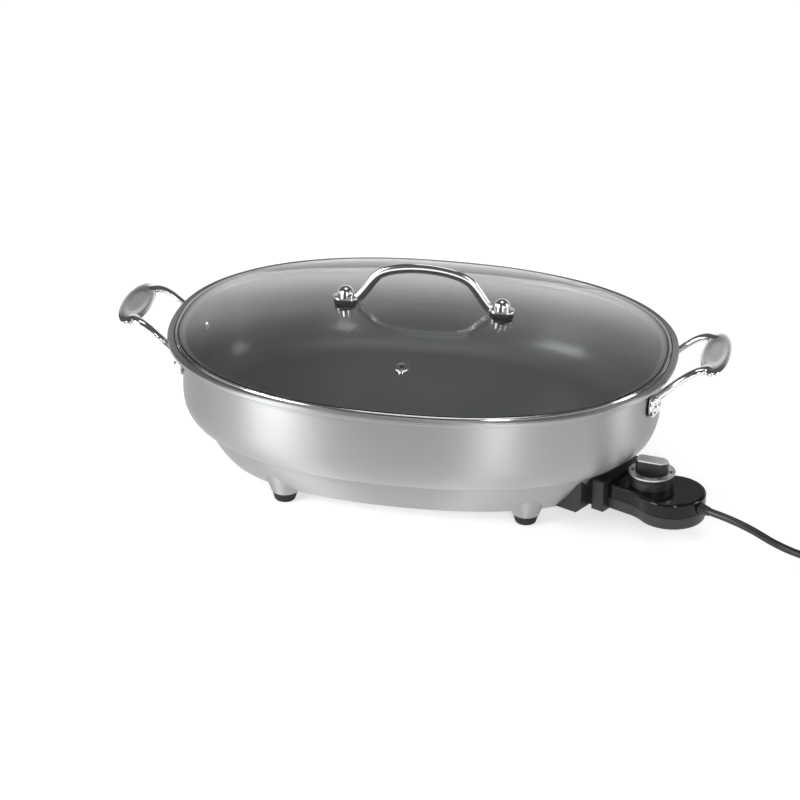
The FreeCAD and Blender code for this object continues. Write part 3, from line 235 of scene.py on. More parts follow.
class Grain(Enum):
    """Which way a brushed metal is brushed."""

    LEVEL = (9.0, 9.0, 2400.0)
    LENGTHWISE = (30.0, 1400.0, 1400.0)
    CROSSWISE = (1400.0, 30.0, 1400.0)
    NONE = (160.0, 160.0, 160.0)


@dataclass(frozen=True)
class Finish:
    """A finish with a slightly uneven colour and gloss."""

    title: str
    colour: Colour
    roughness: float
    metallic: float = 0.0
    mottle: float = 0.08
    mottle_scale: float = 90.0
    relief: float = 0.00002
    relief_scale: float = 1500.0
    coat: float = 0.0
    anisotropic: float = 0.0
    turned_grain: float = 0.0
    specular: float = 0.5

    def material(self) -> bpy.types.Material:
        """The finish as a material, made once."""
        made = bpy.data.materials.get(self.title)
        if made is None:
            made = bpy.data.materials.new(self.title)
            made.use_nodes = True
            made.diffuse_color = (*self.colour, 1)
            plan = NodePlan(made.node_tree)
            output = plan.node("ShaderNodeOutputMaterial")
            plan.tree.links.new(self.shader(plan), output.inputs["Surface"])
        return made

    def constants(self) -> dict:
        """Values that are the same all over the surface."""
        return {"Anisotropic": self.anisotropic, "Anisotropic Rotation": self.turned_grain,
                "Specular IOR Level": self.specular,
                "Coat Weight": self.coat, "Coat Roughness": 0.06, "Metallic": self.metallic}

    def shader(self, plan: NodePlan) -> bpy.types.NodeSocket:
        """Builds the surface.

        Args:
            plan: The material's nodes.

        Returns:
            The shader socket.
        """
        patches = plan.noise((self.mottle_scale,) * 3)
        darker = tuple(channel * (1 - self.mottle) for channel in self.colour)
        lighter = tuple(min(1.0, channel * (1 + self.mottle)) for channel in self.colour)
        fine = plan.noise((self.relief_scale,) * 3, 2)
        values = self.constants() | {
            "Base Color": plan.blend(patches.ramp(0.3, 0.7), darker, lighter),
            "Roughness": self.roughness * (0.86 + 0.28 * patches),
            "Normal": plan.bump(fine, self.relief),
        }
        return plan.node("ShaderNodeBsdfPrincipled", None, values).outputs[0]


@dataclass(frozen=True)
class BrushedMetal(Finish):
    """Metal with a one-way brushed grain, and a painted shade band at a seam height where one is given."""

    grain: Grain = Grain.LEVEL
    streak: float = 0.035
    # Painted shade: a darker band of colour round this height stands in for the shadow in the crevice where
    # two parts meet.
    painted_shade_height: float = 0.0
    painted_shade_reach: float = 0.0009
    painted_shade_strength: float = 0.7
    metallic: float = 1.0

    def streaks(self, plan: NodePlan) -> tuple[bpy.types.NodeSocket, Reading, bpy.types.NodeSocket]:
        """Colour, roughness and normal of the brushed surface; the colour carries the painted seam shade
        where one is set.

        Args:
            plan: The material's nodes.

        Returns:
            The three, in that order.
        """
        scale = self.grain.value
        fine = plan.noise(scale, 2)
        broad = plan.noise((6.0, 6.0, 6.0), 2)
        mixed = fine * 0.7 + broad * 0.3
        darker = tuple(channel * (1 - self.streak) for channel in self.colour)
        lighter = tuple(min(1.0, channel * (1 + self.streak)) for channel in self.colour)
        colour = plan.blend(mixed.ramp(0.32, 0.68), darker, lighter)
        # Painted shade: the colour darkens towards the seam height, standing in for the shadow gathered in
        # the crevice between pan and skirt.
        if self.painted_shade_height:
            height = plan.axes(plan.coordinates())[2] - self.painted_shade_height
            out_of_painted_shade = height.joined("ABSOLUTE", height, 0.0).ramp(self.painted_shade_reach * 0.25, self.painted_shade_reach)
            painted_shade_colour = tuple(channel * (1 - self.painted_shade_strength) for channel in self.colour)
            colour = plan.blend(out_of_painted_shade, painted_shade_colour, colour)
        return colour, self.roughness * (0.8 + 0.4 * mixed), plan.bump(mixed, self.relief)

    def shader(self, plan: NodePlan) -> bpy.types.NodeSocket:
        """Builds the brushed surface.

        Args:
            plan: The material's nodes.

        Returns:
            The shader socket.
        """
        colour, roughness, normal = self.streaks(plan)
        values = self.constants() | {"Base Color": colour, "Roughness": roughness, "Normal": normal}
        return plan.node("ShaderNodeBsdfPrincipled", None, values).outputs[0]


@dataclass(frozen=True)
class PanFinish(BrushedMetal):
    """Brushed steel outside and a grey non-stick coating inside."""

    coating: Colour = (0.12, 0.12, 0.123)
    coating_roughness: float = 0.3
    half_length: float = 0.190
    half_width: float = 0.144
    coating_top: float = 0.1131
    coating_edge: float = 0.0002
    end_weight: float = 0.18
    side_weight: float = 0.14
    floor_weight: float = 0.5
    inwards_from: float = 0.02
    inwards_to: float = 0.06

    def inside(self, plan: NodePlan) -> Reading:
        """1 on the coated inside of the pan.

        Args:
            plan: The material's nodes.

        Returns:
            The mask.
        """
        east, north, up = plan.axes(plan.coordinates())
        face_east, face_north, face_up = plan.axes(plan.coordinates("Normal"))
        outwards = face_east * east * (self.end_weight / self.half_length ** 2)
        outwards = outwards + face_north * north * (self.side_weight / self.half_width ** 2)
        faces_in = (face_up * self.floor_weight - outwards).ramp(self.inwards_from, self.inwards_to)
        return faces_in * (1 - up.ramp(self.coating_top - self.coating_edge, self.coating_top))

    def shader(self, plan: NodePlan) -> bpy.types.NodeSocket:
        """Builds the two-faced surface.

        Args:
            plan: The material's nodes.

        Returns:
            The shader socket.
        """
        colour, roughness, normal = self.streaks(plan)
        inside = self.inside(plan)
        fleck = plan.noise((900.0,) * 3, 2).ramp(0.58, 0.7)
        worn = plan.noise((28.0,) * 3, 3)
        coating = plan.blend(fleck * 0.5, self.coating, tuple(channel * 1.5 for channel in self.coating))
        values = self.constants() | {
            "Base Color": plan.blend(inside, colour, coating),
            "Metallic": 1 - inside,
            "Roughness": roughness * (1 - inside) + inside * self.coating_roughness * (0.85 + 0.3 * worn),
            "Normal": normal,
        }
        return plan.node("ShaderNodeBsdfPrincipled", None, values).outputs[0]


@dataclass(frozen=True)
class ClearGlass(Finish):
    """Clear tempered glass that lets lamp light through."""

    haze: float = 0.01

    def shader(self, plan: NodePlan) -> bpy.types.NodeSocket:
        """Builds the glass.

        Args:
            plan: The material's nodes.

        Returns:
            The shader socket.
        """
        smears = plan.noise((14.0, 14.0, 14.0), 4)
        values = {"Base Color": plan.blend(smears, self.colour, (0.985, 0.99, 0.985)),
                  "Roughness": smears * self.haze, "IOR": 1.5, "Transmission Weight": 1.0}
        glass = plan.node("ShaderNodeBsdfPrincipled", None, values)
        clear = plan.node("ShaderNodeBsdfTransparent", None, {"Color": (0.9, 0.92, 0.91, 1)})
        rays = plan.node("ShaderNodeLightPath")
        passing = plan.read(rays, "Is Shadow Ray").larger(plan.read(rays, "Is Diffuse Ray"))
        mixed = plan.node("ShaderNodeMixShader", None, {0: passing, 1: glass.outputs[0], 2: clear.outputs[0]})
        return mixed.outputs[0]


STEEL = (0.43, 0.435, 0.44)
FINISHES = {
    # Both brushed finishes carry a painted shade band at the pan-to-skirt seam height.
    "brushed_pan": PanFinish("brushed_pan", STEEL, 0.48, relief=0.000006, anisotropic=0.9, turned_grain=0.25,
                             painted_shade_height=0.0432),
    "brushed_skirt": BrushedMetal("brushed_skirt", STEEL, 0.48, relief=0.000006, anisotropic=0.9,
                                  turned_grain=0.25, painted_shade_height=0.0432),
    "cover_sheet": BrushedMetal("cover_sheet", (0.42, 0.43, 0.44), 0.42, grain=Grain.LENGTHWISE),
    "polished_casting": Finish("polished_casting", (0.56, 0.56, 0.57), 0.2, 1.0, 0.06, 60.0, 0.00005, 260.0),
    "polished_fittings": Finish("polished_fittings", (0.66, 0.66, 0.67), 0.07, 1.0, 0.03, 80.0, 0.000004,
                                500.0),
    "ring_steel": BrushedMetal("ring_steel", (0.6, 0.6, 0.61), 0.16, grain=Grain.NONE, relief=0.000004),
    "black_rubber": Finish("black_rubber", (0.018, 0.018, 0.019), 0.62, relief=0.00004, relief_scale=2200.0),
    "zinc_screws": Finish("zinc_screws", (0.5, 0.5, 0.47), 0.3, 1.0, 0.12, 700.0),
    "cast_heat_plate": Finish("cast_heat_plate", (0.36, 0.36, 0.37), 0.5, 1.0, 0.14, 240.0, 0.00012, 700.0),
    "element_sheath": Finish("element_sheath", (0.2, 0.19, 0.18), 0.42, 1.0, 0.22, 160.0, 0.00003, 900.0),
    "terminal_steel": Finish("terminal_steel", (0.55, 0.55, 0.54), 0.22, 1.0, 0.08, 300.0),
    "white_ceramic": Finish("white_ceramic", (0.76, 0.74, 0.69), 0.38, 0.0, 0.05, 200.0, 0.00002, 1200.0),
    "black_moulding": Finish("black_moulding", (0.009, 0.009, 0.01), 0.3, relief=0.00002, relief_scale=2600.0,
                             specular=0.2),
    "gloss_black": Finish("gloss_black", (0.006, 0.006, 0.007), 0.1, 0.0, 0.06, 60.0, 0.000004, 300.0, 0.1,
                          specular=0.22),
    "brown_moulding": Finish("brown_moulding", (0.1, 0.045, 0.022), 0.42, relief=0.00003),
    "contact_brass": Finish("contact_brass", (0.66, 0.47, 0.2), 0.28, 1.0, 0.1, 300.0),
    "silver_trim": BrushedMetal("silver_trim", (0.74, 0.74, 0.75), 0.3, grain=Grain.CROSSWISE,
                                relief=0.000008),
    "black_jacket": Finish("black_jacket", (0.022, 0.022, 0.023), 0.34, relief=0.00003, relief_scale=1800.0),
    "dial_print": Finish("dial_print", (0.015, 0.015, 0.016), 0.5, mottle_scale=500.0),
    "glass": ClearGlass("glass", (0.955, 0.975, 0.965), 0.0),
}

NODE_FINISHES = {
    "brushed_pan": ("pan_body",),
    "brushed_skirt": ("base_skirt",),
    "cover_sheet": ("bottom_cover", "thermostat_bracket"),
    "polished_fittings": ("handle_rivets_right", "handle_rivets_left", "handle_bolts", "acorn_nuts",
                          "vent_eyelet", "plug_blades"),
    "black_rubber": ("rubber_foot_front_left", "rubber_foot_front_right", "rubber_foot_rear_left",
                     "rubber_foot_rear_right", "handle_spacers", "sealing_washers"),
    "zinc_screws": ("foot_screws", "cover_screws", "guard_screws", "housing_screws", "knob_spindle"),
    "cast_heat_plate": ("heat_plate",),
    "element_sheath": ("heating_element",),
    "terminal_steel": ("terminal_pins", "sensor_rod"),
    "white_ceramic": ("terminal_insulators", "blade_insulators"),
    "black_moulding": ("socket_guard", "control_lower_shell", "dial_collar", "knob_grip", "plug_body"),
    "gloss_black": ("control_upper_shell",),
    "brown_moulding": ("contact_carrier",),
    "contact_brass": ("contact_sleeves", "thermostat_blades", "switch_contacts"),
    "silver_trim": ("knob_cap", "dial_ring"),
    "black_jacket": ("strain_relief",),
    "glass": ("lid_glass",),
}


def mesh_object(name: str, mesh: bpy.types.Mesh, finish: str) -> bpy.types.Object:
    """Links a mesh into the scene at the origin.

    Args:
        name: The piece's name.
        mesh: Its mesh.
        finish: The name of its finish.

    Returns:
        The object.
    """
    made = bpy.data.objects.new(name, mesh)
    mesh.materials.clear()
    mesh.materials.append(FINISHES[finish].material())
    bpy.context.scene.collection.objects.link(made)
    return made


# Mesh making


def through(points: Sequence[Vector], steps: int) -> list[Vector]:
    """A smooth line through points.

    Args:
        points: The points, in order.
        steps: Pieces between each two.

    Returns:
        The line's points.
    """
    ends = [points[0] * 2 - points[1], *points, points[-1] * 2 - points[-2]]
    line = []
    for index in range(len(points) - 1):
        before, start, stop, after = ends[index:index + 4]
        for step in range(steps):
            t = step / steps
            bend = 2 * before - 5 * start + 4 * stop - after
            twist = 3 * start - before - 3 * stop + after
            line.append(0.5 * (2 * start + (stop - before) * t + bend * t ** 2 + twist * t ** 3))
    line.append(points[-1].copy())
    return line


def between(values: Sequence[float], count: int) -> list[float]:
    """Values spread evenly over a number of stations.

    Args:
        values: Values at even distances.
        count: How many are wanted.

    Returns:
        The values in between, eased at each given one.
    """
    spread = []
    for index in range(count):
        place = index / (count - 1) * (len(values) - 1)
        low = min(int(place), len(values) - 2)
        share = place - low
        share = share * share * (3 - 2 * share)
        spread.append(values[low] * (1 - share) + values[low + 1] * share)
    return spread


class Shell:
    """A mesh in the making, of closed skins that may run into each other."""

    def __init__(self) -> None:
        """Starts empty."""
        self.skin = bmesh.new()

    def rings(self, rings: Sequence[Sequence[Vector]]) -> None:
        """Adds a closed skin over a row of rings.

        Args:
            rings: Equal rings of points, in order.
        """
        rows = [[self.skin.verts.new(point) for point in ring] for ring in rings]
        count = len(rows[0])
        for first, second in zip(rows, rows[1:]):
            for index in range(count):
                after = (index + 1) % count
                self.skin.faces.new((first[index], first[after], second[after], second[index]))
        self.skin.faces.new(list(reversed(rows[0])))
        self.skin.faces.new(rows[-1])

    def sweep(self, line: Sequence[Vector], half_widths: Sequence[float], half_depths: Sequence[float],
              up: Vector, count: int = 24) -> None:
        """Adds an oval bar along a line.

        Args:
            line: The middle of the bar.
            half_widths: Half its width across `up`, at each point.
            half_depths: Half its other width, at each point.
            up: A direction that the bar's flat side keeps to.
            count: Points round it.
        """
        rings = []
        for index, point in enumerate(line):
            along = (line[min(index + 1, len(line) - 1)] - line[max(index - 1, 0)]).normalized()
            side = up.cross(along).normalized()
            rise = along.cross(side)
            ring = []
            for step in range(count):
                turn = math.tau * step / count
                ring.append(point + side * half_widths[index] * math.cos(turn)
                            + rise * half_depths[index] * math.sin(turn))
            rings.append(ring)
        self.rings(rings)

    def mesh(self, name: str, merge_size: float = 0.0, rounds: int = 0) -> bpy.types.Mesh:
        """Ends the making.

        Args:
            name: The mesh's name.
            merge_size: Size of the cells that the skins are merged with, or 0 to keep them apart.
            rounds: Rounds of smoothing after the merge.

        Returns:
            The mesh, smooth shaded.
        """
        bmesh.ops.recalc_face_normals(self.skin, faces=self.skin.faces)
        made = bpy.data.meshes.new(name)
        self.skin.to_mesh(made)
        self.skin.free()
        if merge_size:
            holder = bpy.data.objects.new(name + "_parts", made)
            bpy.context.scene.collection.objects.link(holder)
            merge = holder.modifiers.new("merge", "REMESH")
            merge.mode = "VOXEL"
            merge.voxel_size = merge_size
            smooth = holder.modifiers.new("smooth", "SMOOTH")
            smooth.factor = 0.5
            smooth.iterations = rounds
            bpy.context.view_layer.update()
            result = holder.evaluated_get(bpy.context.evaluated_depsgraph_get())
            merged = bpy.data.meshes.new_from_object(result)
            bpy.data.objects.remove(holder)
            bpy.data.meshes.remove(made)
            made = merged
            made.name = name
        made.shade_smooth()
        return made


# Sub-assemblies


@dataclass
class SideHandles:
    """The two cast handles: a dished oval paddle on two curved arms with rounded foot plates."""

    paddle_centre: tuple = (0.2319, 0.0, 0.1246)
    paddle_half_length: float = 0.0408
    paddle_half_width: float = 0.0121
    paddle_thickness: float = 0.0064
    paddle_tilt: float = 6.0
    paddle_rings: int = 26
    paddle_points: int = 56
    edge_fullness: float = 0.42
    face_fullness: float = 0.8
    dish_depth: float = 0.0012
    dish_edge: float = 0.9
    dish_slope: float = 0.5
    foot_spot: tuple = (0.1858, 0.0375, 0.0938)
    foot_outwards: tuple = (0.985, 0.172, 0.0)
    foot_half_width: float = 0.0080
    foot_half_height: float = 0.0100
    foot_levels: tuple = ((0.0003, 1.0), (0.0028, 1.0), (0.0038, 0.94), (0.0044, 0.84), (0.0046, 0.7))
    merge_size: float = 0.0008
    smoothing_rounds: int = 5
    arm: tuple = ((0.1880, 0.0376, 0.0965), (0.1935, 0.0375, 0.1030), (0.2050, 0.0366, 0.1135),
                  (0.2140, 0.0355, 0.1205), (0.2215, 0.0335, 0.1240), (0.2290, 0.0290, 0.1247))
    arm_half_widths: tuple = (0.0052, 0.0040, 0.0037, 0.0038, 0.0044, 0.0056)
    arm_half_depths: tuple = (0.0042, 0.0033, 0.0030, 0.0031, 0.0031, 0.0030)

    def paddle(self, shell: Shell) -> None:
        """Adds the dished paddle.

        Args:
            shell: The mesh in the making.
        """
        tilt = Matrix.Rotation(math.radians(-self.paddle_tilt), 4, "Y")
        place = Matrix.Translation(Vector(self.paddle_centre)) @ tilt
        rings = []
        for level in range(self.paddle_rings):
            rise = -math.pi / 2 + math.pi * (level + 0.5) / self.paddle_rings
            share = math.cos(rise) ** self.edge_fullness
            height = abs(math.sin(rise)) ** self.face_fullness * self.paddle_thickness / 2
            height = math.copysign(height, rise)
            if rise > 0:
                inward = max(0.0, min(1.0, (self.dish_edge - share) / self.dish_slope))
                height -= self.dish_depth * inward * inward * (3 - 2 * inward)
            ring = []
            for step in range(self.paddle_points):
                turn = math.tau * step / self.paddle_points
                ring.append(place @ Vector((self.paddle_half_width * share * math.cos(turn),
                                            self.paddle_half_length * share * math.sin(turn), height)))
            rings.append(ring)
        shell.rings(rings)

    def leg(self, shell: Shell, end: int) -> None:
        """Adds one arm and its foot plate.

        Args:
            shell: The mesh in the making.
            end: 1 at the back and -1 at the front.
        """
        line = through([Vector((x, y * end, z)) for x, y, z in self.arm], 8)
        shell.sweep(line, between(self.arm_half_widths, len(line)), between(self.arm_half_depths, len(line)),
                    Vector((0, 0, 1)))
        outwards = Vector((self.foot_outwards[0], self.foot_outwards[1] * end, 0)).normalized()
        foot = Vector((self.foot_spot[0], self.foot_spot[1] * end, self.foot_spot[2]))
        shell.sweep([foot + outwards * depth for depth, _ in self.foot_levels],
                    [self.foot_half_width * share for _, share in self.foot_levels],
                    [self.foot_half_height * share for _, share in self.foot_levels], Vector((0, 0, 1)), 32)

    def build(self) -> None:
        """Makes both handles."""
        for side, name in ((1, "right"), (-1, "left")):
            shell = Shell()
            self.paddle(shell)
            self.leg(shell, 1)
            self.leg(shell, -1)
            mesh = shell.mesh("cast_handle_" + name, self.merge_size, self.smoothing_rounds)
            if side < 0:
                mesh.transform(Matrix.Diagonal((-1, 1, 1, 1)))
                mesh.flip_normals()
            handle = mesh_object("cast_handle_" + name, mesh, "polished_casting")
            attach(handle, "base")
            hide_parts("side_handle_" + name)


@dataclass
class LidBar:
    """The polished arched bar on the lid, with a flat rounded tab at each end."""

    half_line: tuple = ((0.0590, 0.1457), (0.0545, 0.1459), (0.0510, 0.1482), (0.0455, 0.1556),
                        (0.0405, 0.1630), (0.0345, 0.1688), (0.0250, 0.1727), (0.0125, 0.1750), (0.0, 0.1757))
    half_height: float = 0.0040
    half_width: float = 0.0022
    tab_centre: float = 0.0623
    tab_half_length: float = 0.0100
    tab_half_width: float = 0.00625
    bar_points: int = 28
    tab_points: int = 48
    tab_levels: tuple = ((0.1442, 0.0003), (0.1445, 0.0), (0.1467, 0.0), (0.1471, 0.0003), (0.1472, 0.0008))

    def tab(self, shell: Shell, side: int) -> None:
        """Adds one tab.

        Args:
            shell: The mesh in the making.
            side: 1 on the right and -1 on the left.
        """
        rings = []
        for height, inset in self.tab_levels:
            round_end = self.tab_half_width - inset
            straight = self.tab_half_length - self.tab_half_width
            ring = []
            for step in range(self.tab_points):
                turn = math.tau * (step + 0.5) / self.tab_points
                shift = math.copysign(straight, math.cos(turn))
                ring.append(Vector((side * self.tab_centre + shift + round_end * math.cos(turn),
                                    round_end * math.sin(turn), height)))
            rings.append(ring)
        shell.rings(rings)

    def build(self) -> None:
        """Makes the bar."""
        right = [Vector((x, 0, z)) for x, z in self.half_line]
        left = [Vector((-x, 0, z)) for x, z in reversed(self.half_line[:-1])]
        line = through(right + left, 8)
        shell = Shell()
        shell.sweep(line, [self.half_height] * len(line), [self.half_width] * len(line), Vector((0, 1, 0)),
                    self.bar_points)
        self.tab(shell, 1)
        self.tab(shell, -1)
        bar = mesh_object("lid_bar", shell.mesh("lid_bar"), "polished_fittings")
        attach(bar, "lid")
        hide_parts("lid_handle")


@dataclass
class LidBand:
    """The bright steel band round the glass, an oval of one rule with a rounded section."""

    half_length: float = 0.1943
    half_width: float = 0.1483
    power: float = 2.25
    height: float = 0.11745
    band_half_width: float = 0.0022
    band_half_height: float = 0.0023
    points: int = 256

    def tree(self) -> bpy.types.NodeTree:
        """Geometry nodes that bend a circle to the oval and run the band's section round it.

        Returns:
            The tree, with its sizes as named inputs.
        """
        tree = bpy.data.node_groups.new("oval_band", "GeometryNodeTree")
        face = tree.interface
        face.new_socket("Geometry", in_out="OUTPUT", socket_type="NodeSocketGeometry")
        face.new_socket("Geometry", in_out="INPUT", socket_type="NodeSocketGeometry")
        face.new_socket("Points", in_out="INPUT", socket_type="NodeSocketInt")
        for name in ("Half Length", "Half Width", "Power", "Height", "Band Half Width", "Band Half Height"):
            face.new_socket(name, in_out="INPUT", socket_type="NodeSocketFloat")
        face.new_socket("Material", in_out="INPUT", socket_type="NodeSocketMaterial")
        plan = NodePlan(tree)
        given = plan.node("NodeGroupInput")

        def size(name: str) -> Reading:
            """One of the tree's inputs."""
            return plan.read(given, name)

        circle = plan.node("GeometryNodeMeshCircle", None, {"Vertices": size("Points"), "Radius": 1.0})
        place = plan.node("GeometryNodeInputPosition")
        east, north, _ = plan.axes(place.outputs[0])
        power = size("Power")
        reach_east = east.joined("POWER", east.joined("ABSOLUTE", east, 0.0), power)
        reach_north = east.joined("POWER", north.joined("ABSOLUTE", north, 0.0), power)
        shrink = east.joined("POWER", reach_east + reach_north, east.joined("DIVIDE", -1.0, power))
        moved = plan.node("ShaderNodeCombineXYZ", None,
                          {0: east * shrink * size("Half Length"), 1: north * shrink * size("Half Width"),
                           2: size("Height")})
        oval = plan.node("GeometryNodeSetPosition", None,
                         {"Geometry": circle.outputs[0], "Position": moved.outputs[0]})
        line = plan.node("GeometryNodeMeshToCurve", None, {0: oval.outputs[0]})
        section = plan.node("GeometryNodeCurvePrimitiveCircle", {"mode": "RADIUS"},
                            {"Resolution": 20, "Radius": 1.0})
        stretch = plan.node("ShaderNodeCombineXYZ", None,
                            {0: size("Band Half Width"), 1: size("Band Half Height"), 2: 1.0})
        flat = plan.node("GeometryNodeTransform", None, {0: section.outputs[0], "Scale": stretch.outputs[0]})
        band = plan.node("GeometryNodeCurveToMesh", None,
                         {"Curve": line.outputs[0], "Profile Curve": flat.outputs[0]})
        solid = plan.node("GeometryNodeRealizeInstances", None, {0: band.outputs[0]})
        painted = plan.node("GeometryNodeSetMaterial", None,
                            {0: solid.outputs[0], "Material": given.outputs["Material"]})
        plan.node("NodeGroupOutput", None, {0: painted.outputs[0]})
        return tree

    def build(self) -> None:
        """Makes the band."""
        values = {"Points": self.points, "Half Length": self.half_length, "Half Width": self.half_width,
                  "Power": self.power, "Height": self.height, "Band Half Width": self.band_half_width,
                  "Band Half Height": self.band_half_height, "Material": FINISHES["ring_steel"].material()}
        band = grown("lid_band", self.tree(), values, "ring_steel")
        band.data.shade_smooth()
        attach(band, "lid")
        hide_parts("lid_ring")


@dataclass
class CadFinishes:
    """The solids that keep their CAD shape and get their real finish."""

    node_finishes: dict[str, tuple[str, ...]] = field(default_factory=lambda: dict(NODE_FINISHES))

    def build(self) -> int:
        """Dresses every node.

        Returns:
            How many nodes were dressed.
        """
        count = 0
        for finish, names in self.node_finishes.items():
            material = FINISHES[finish].material()
            for name in names:
                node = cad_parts[name]
                node.data.materials.clear()
                node.data.materials.append(material)
                count += 1
        return count


@dataclass
class MainsCord:
    """The black lead: its run from the control and the coil of spare length beside the skillet."""

    diameter: float = 0.006
    length: float = 0.870
    route: tuple = ((0.23965, -0.08415, 0.030), (0.26371, -0.09641, 0.030), (0.301, -0.108, 0.015),
                    (0.337, -0.099, 0.00305))
    coil_centre: tuple = (0.376, -0.060, 0.00305)
    coil_radii: tuple = (0.039, 0.0357, 0.0324, 0.0357, 0.039, 0.0423)
    coil_climbs: tuple = (0.0, 0.0, 0.0065, 0.0, 0.0, 0.0)
    coil_tail: float = 0.020
    steps: int = 7

    def coil_points(self) -> list[Vector]:
        """Control points of the coil's turns, seven to each half turn.

        Returns:
            The points, the first at the end of the lead-in run.
        """
        centre = Vector(self.coil_centre)
        step = math.pi / self.steps
        widen = 1 / (0.75 + 0.25 * math.cos(step))
        points = []
        middle = 0.0
        level = 0.0
        side = 1
        edge = self.coil_radii[0]
        for radius, climb in zip(self.coil_radii, self.coil_climbs):
            middle = edge - side * radius
            for index in range(self.steps):
                turn = (index + 0.5) * step
                across = middle + side * radius * widen * math.cos(turn)
                along = side * radius * widen * math.sin(turn)
                height = level + climb * (index + 0.5) / self.steps
                points.append(centre + Vector((along, -across, height)))
            level += climb
            edge = middle - side * radius
            side = -side
        end = centre + Vector((0.0, -edge, level))
        points.append(end + Vector((self.coil_tail * 0.45, 0, 0)))
        points.append(end + Vector((self.coil_tail, 0, 0)))
        return points

    def build(self) -> None:
        curve = bpy.data.curves.new("mains_cord", "CURVE")
        curve.dimensions = "3D"
        curve.bevel_depth = self.diameter / 2
        curve.bevel_resolution = 5
        curve.resolution_u = 6
        curve.use_fill_caps = True
        points = [Vector(point) for point in self.route] + self.coil_points()
        spline = curve.splines.new("NURBS")
        spline.points.add(len(points) - 1)
        for spot, point in zip(spline.points, points):
            spot.co = (*point, 1.0)
        spline.order_u = 3
        spline.use_endpoint_u = True
        curve.materials.append(FINISHES["black_jacket"].material())
        cord = bpy.data.objects.new("mains_cord", curve)
        bpy.context.scene.collection.objects.link(cord)
        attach(cord, "control")
        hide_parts("power_cord", "cord_coil")


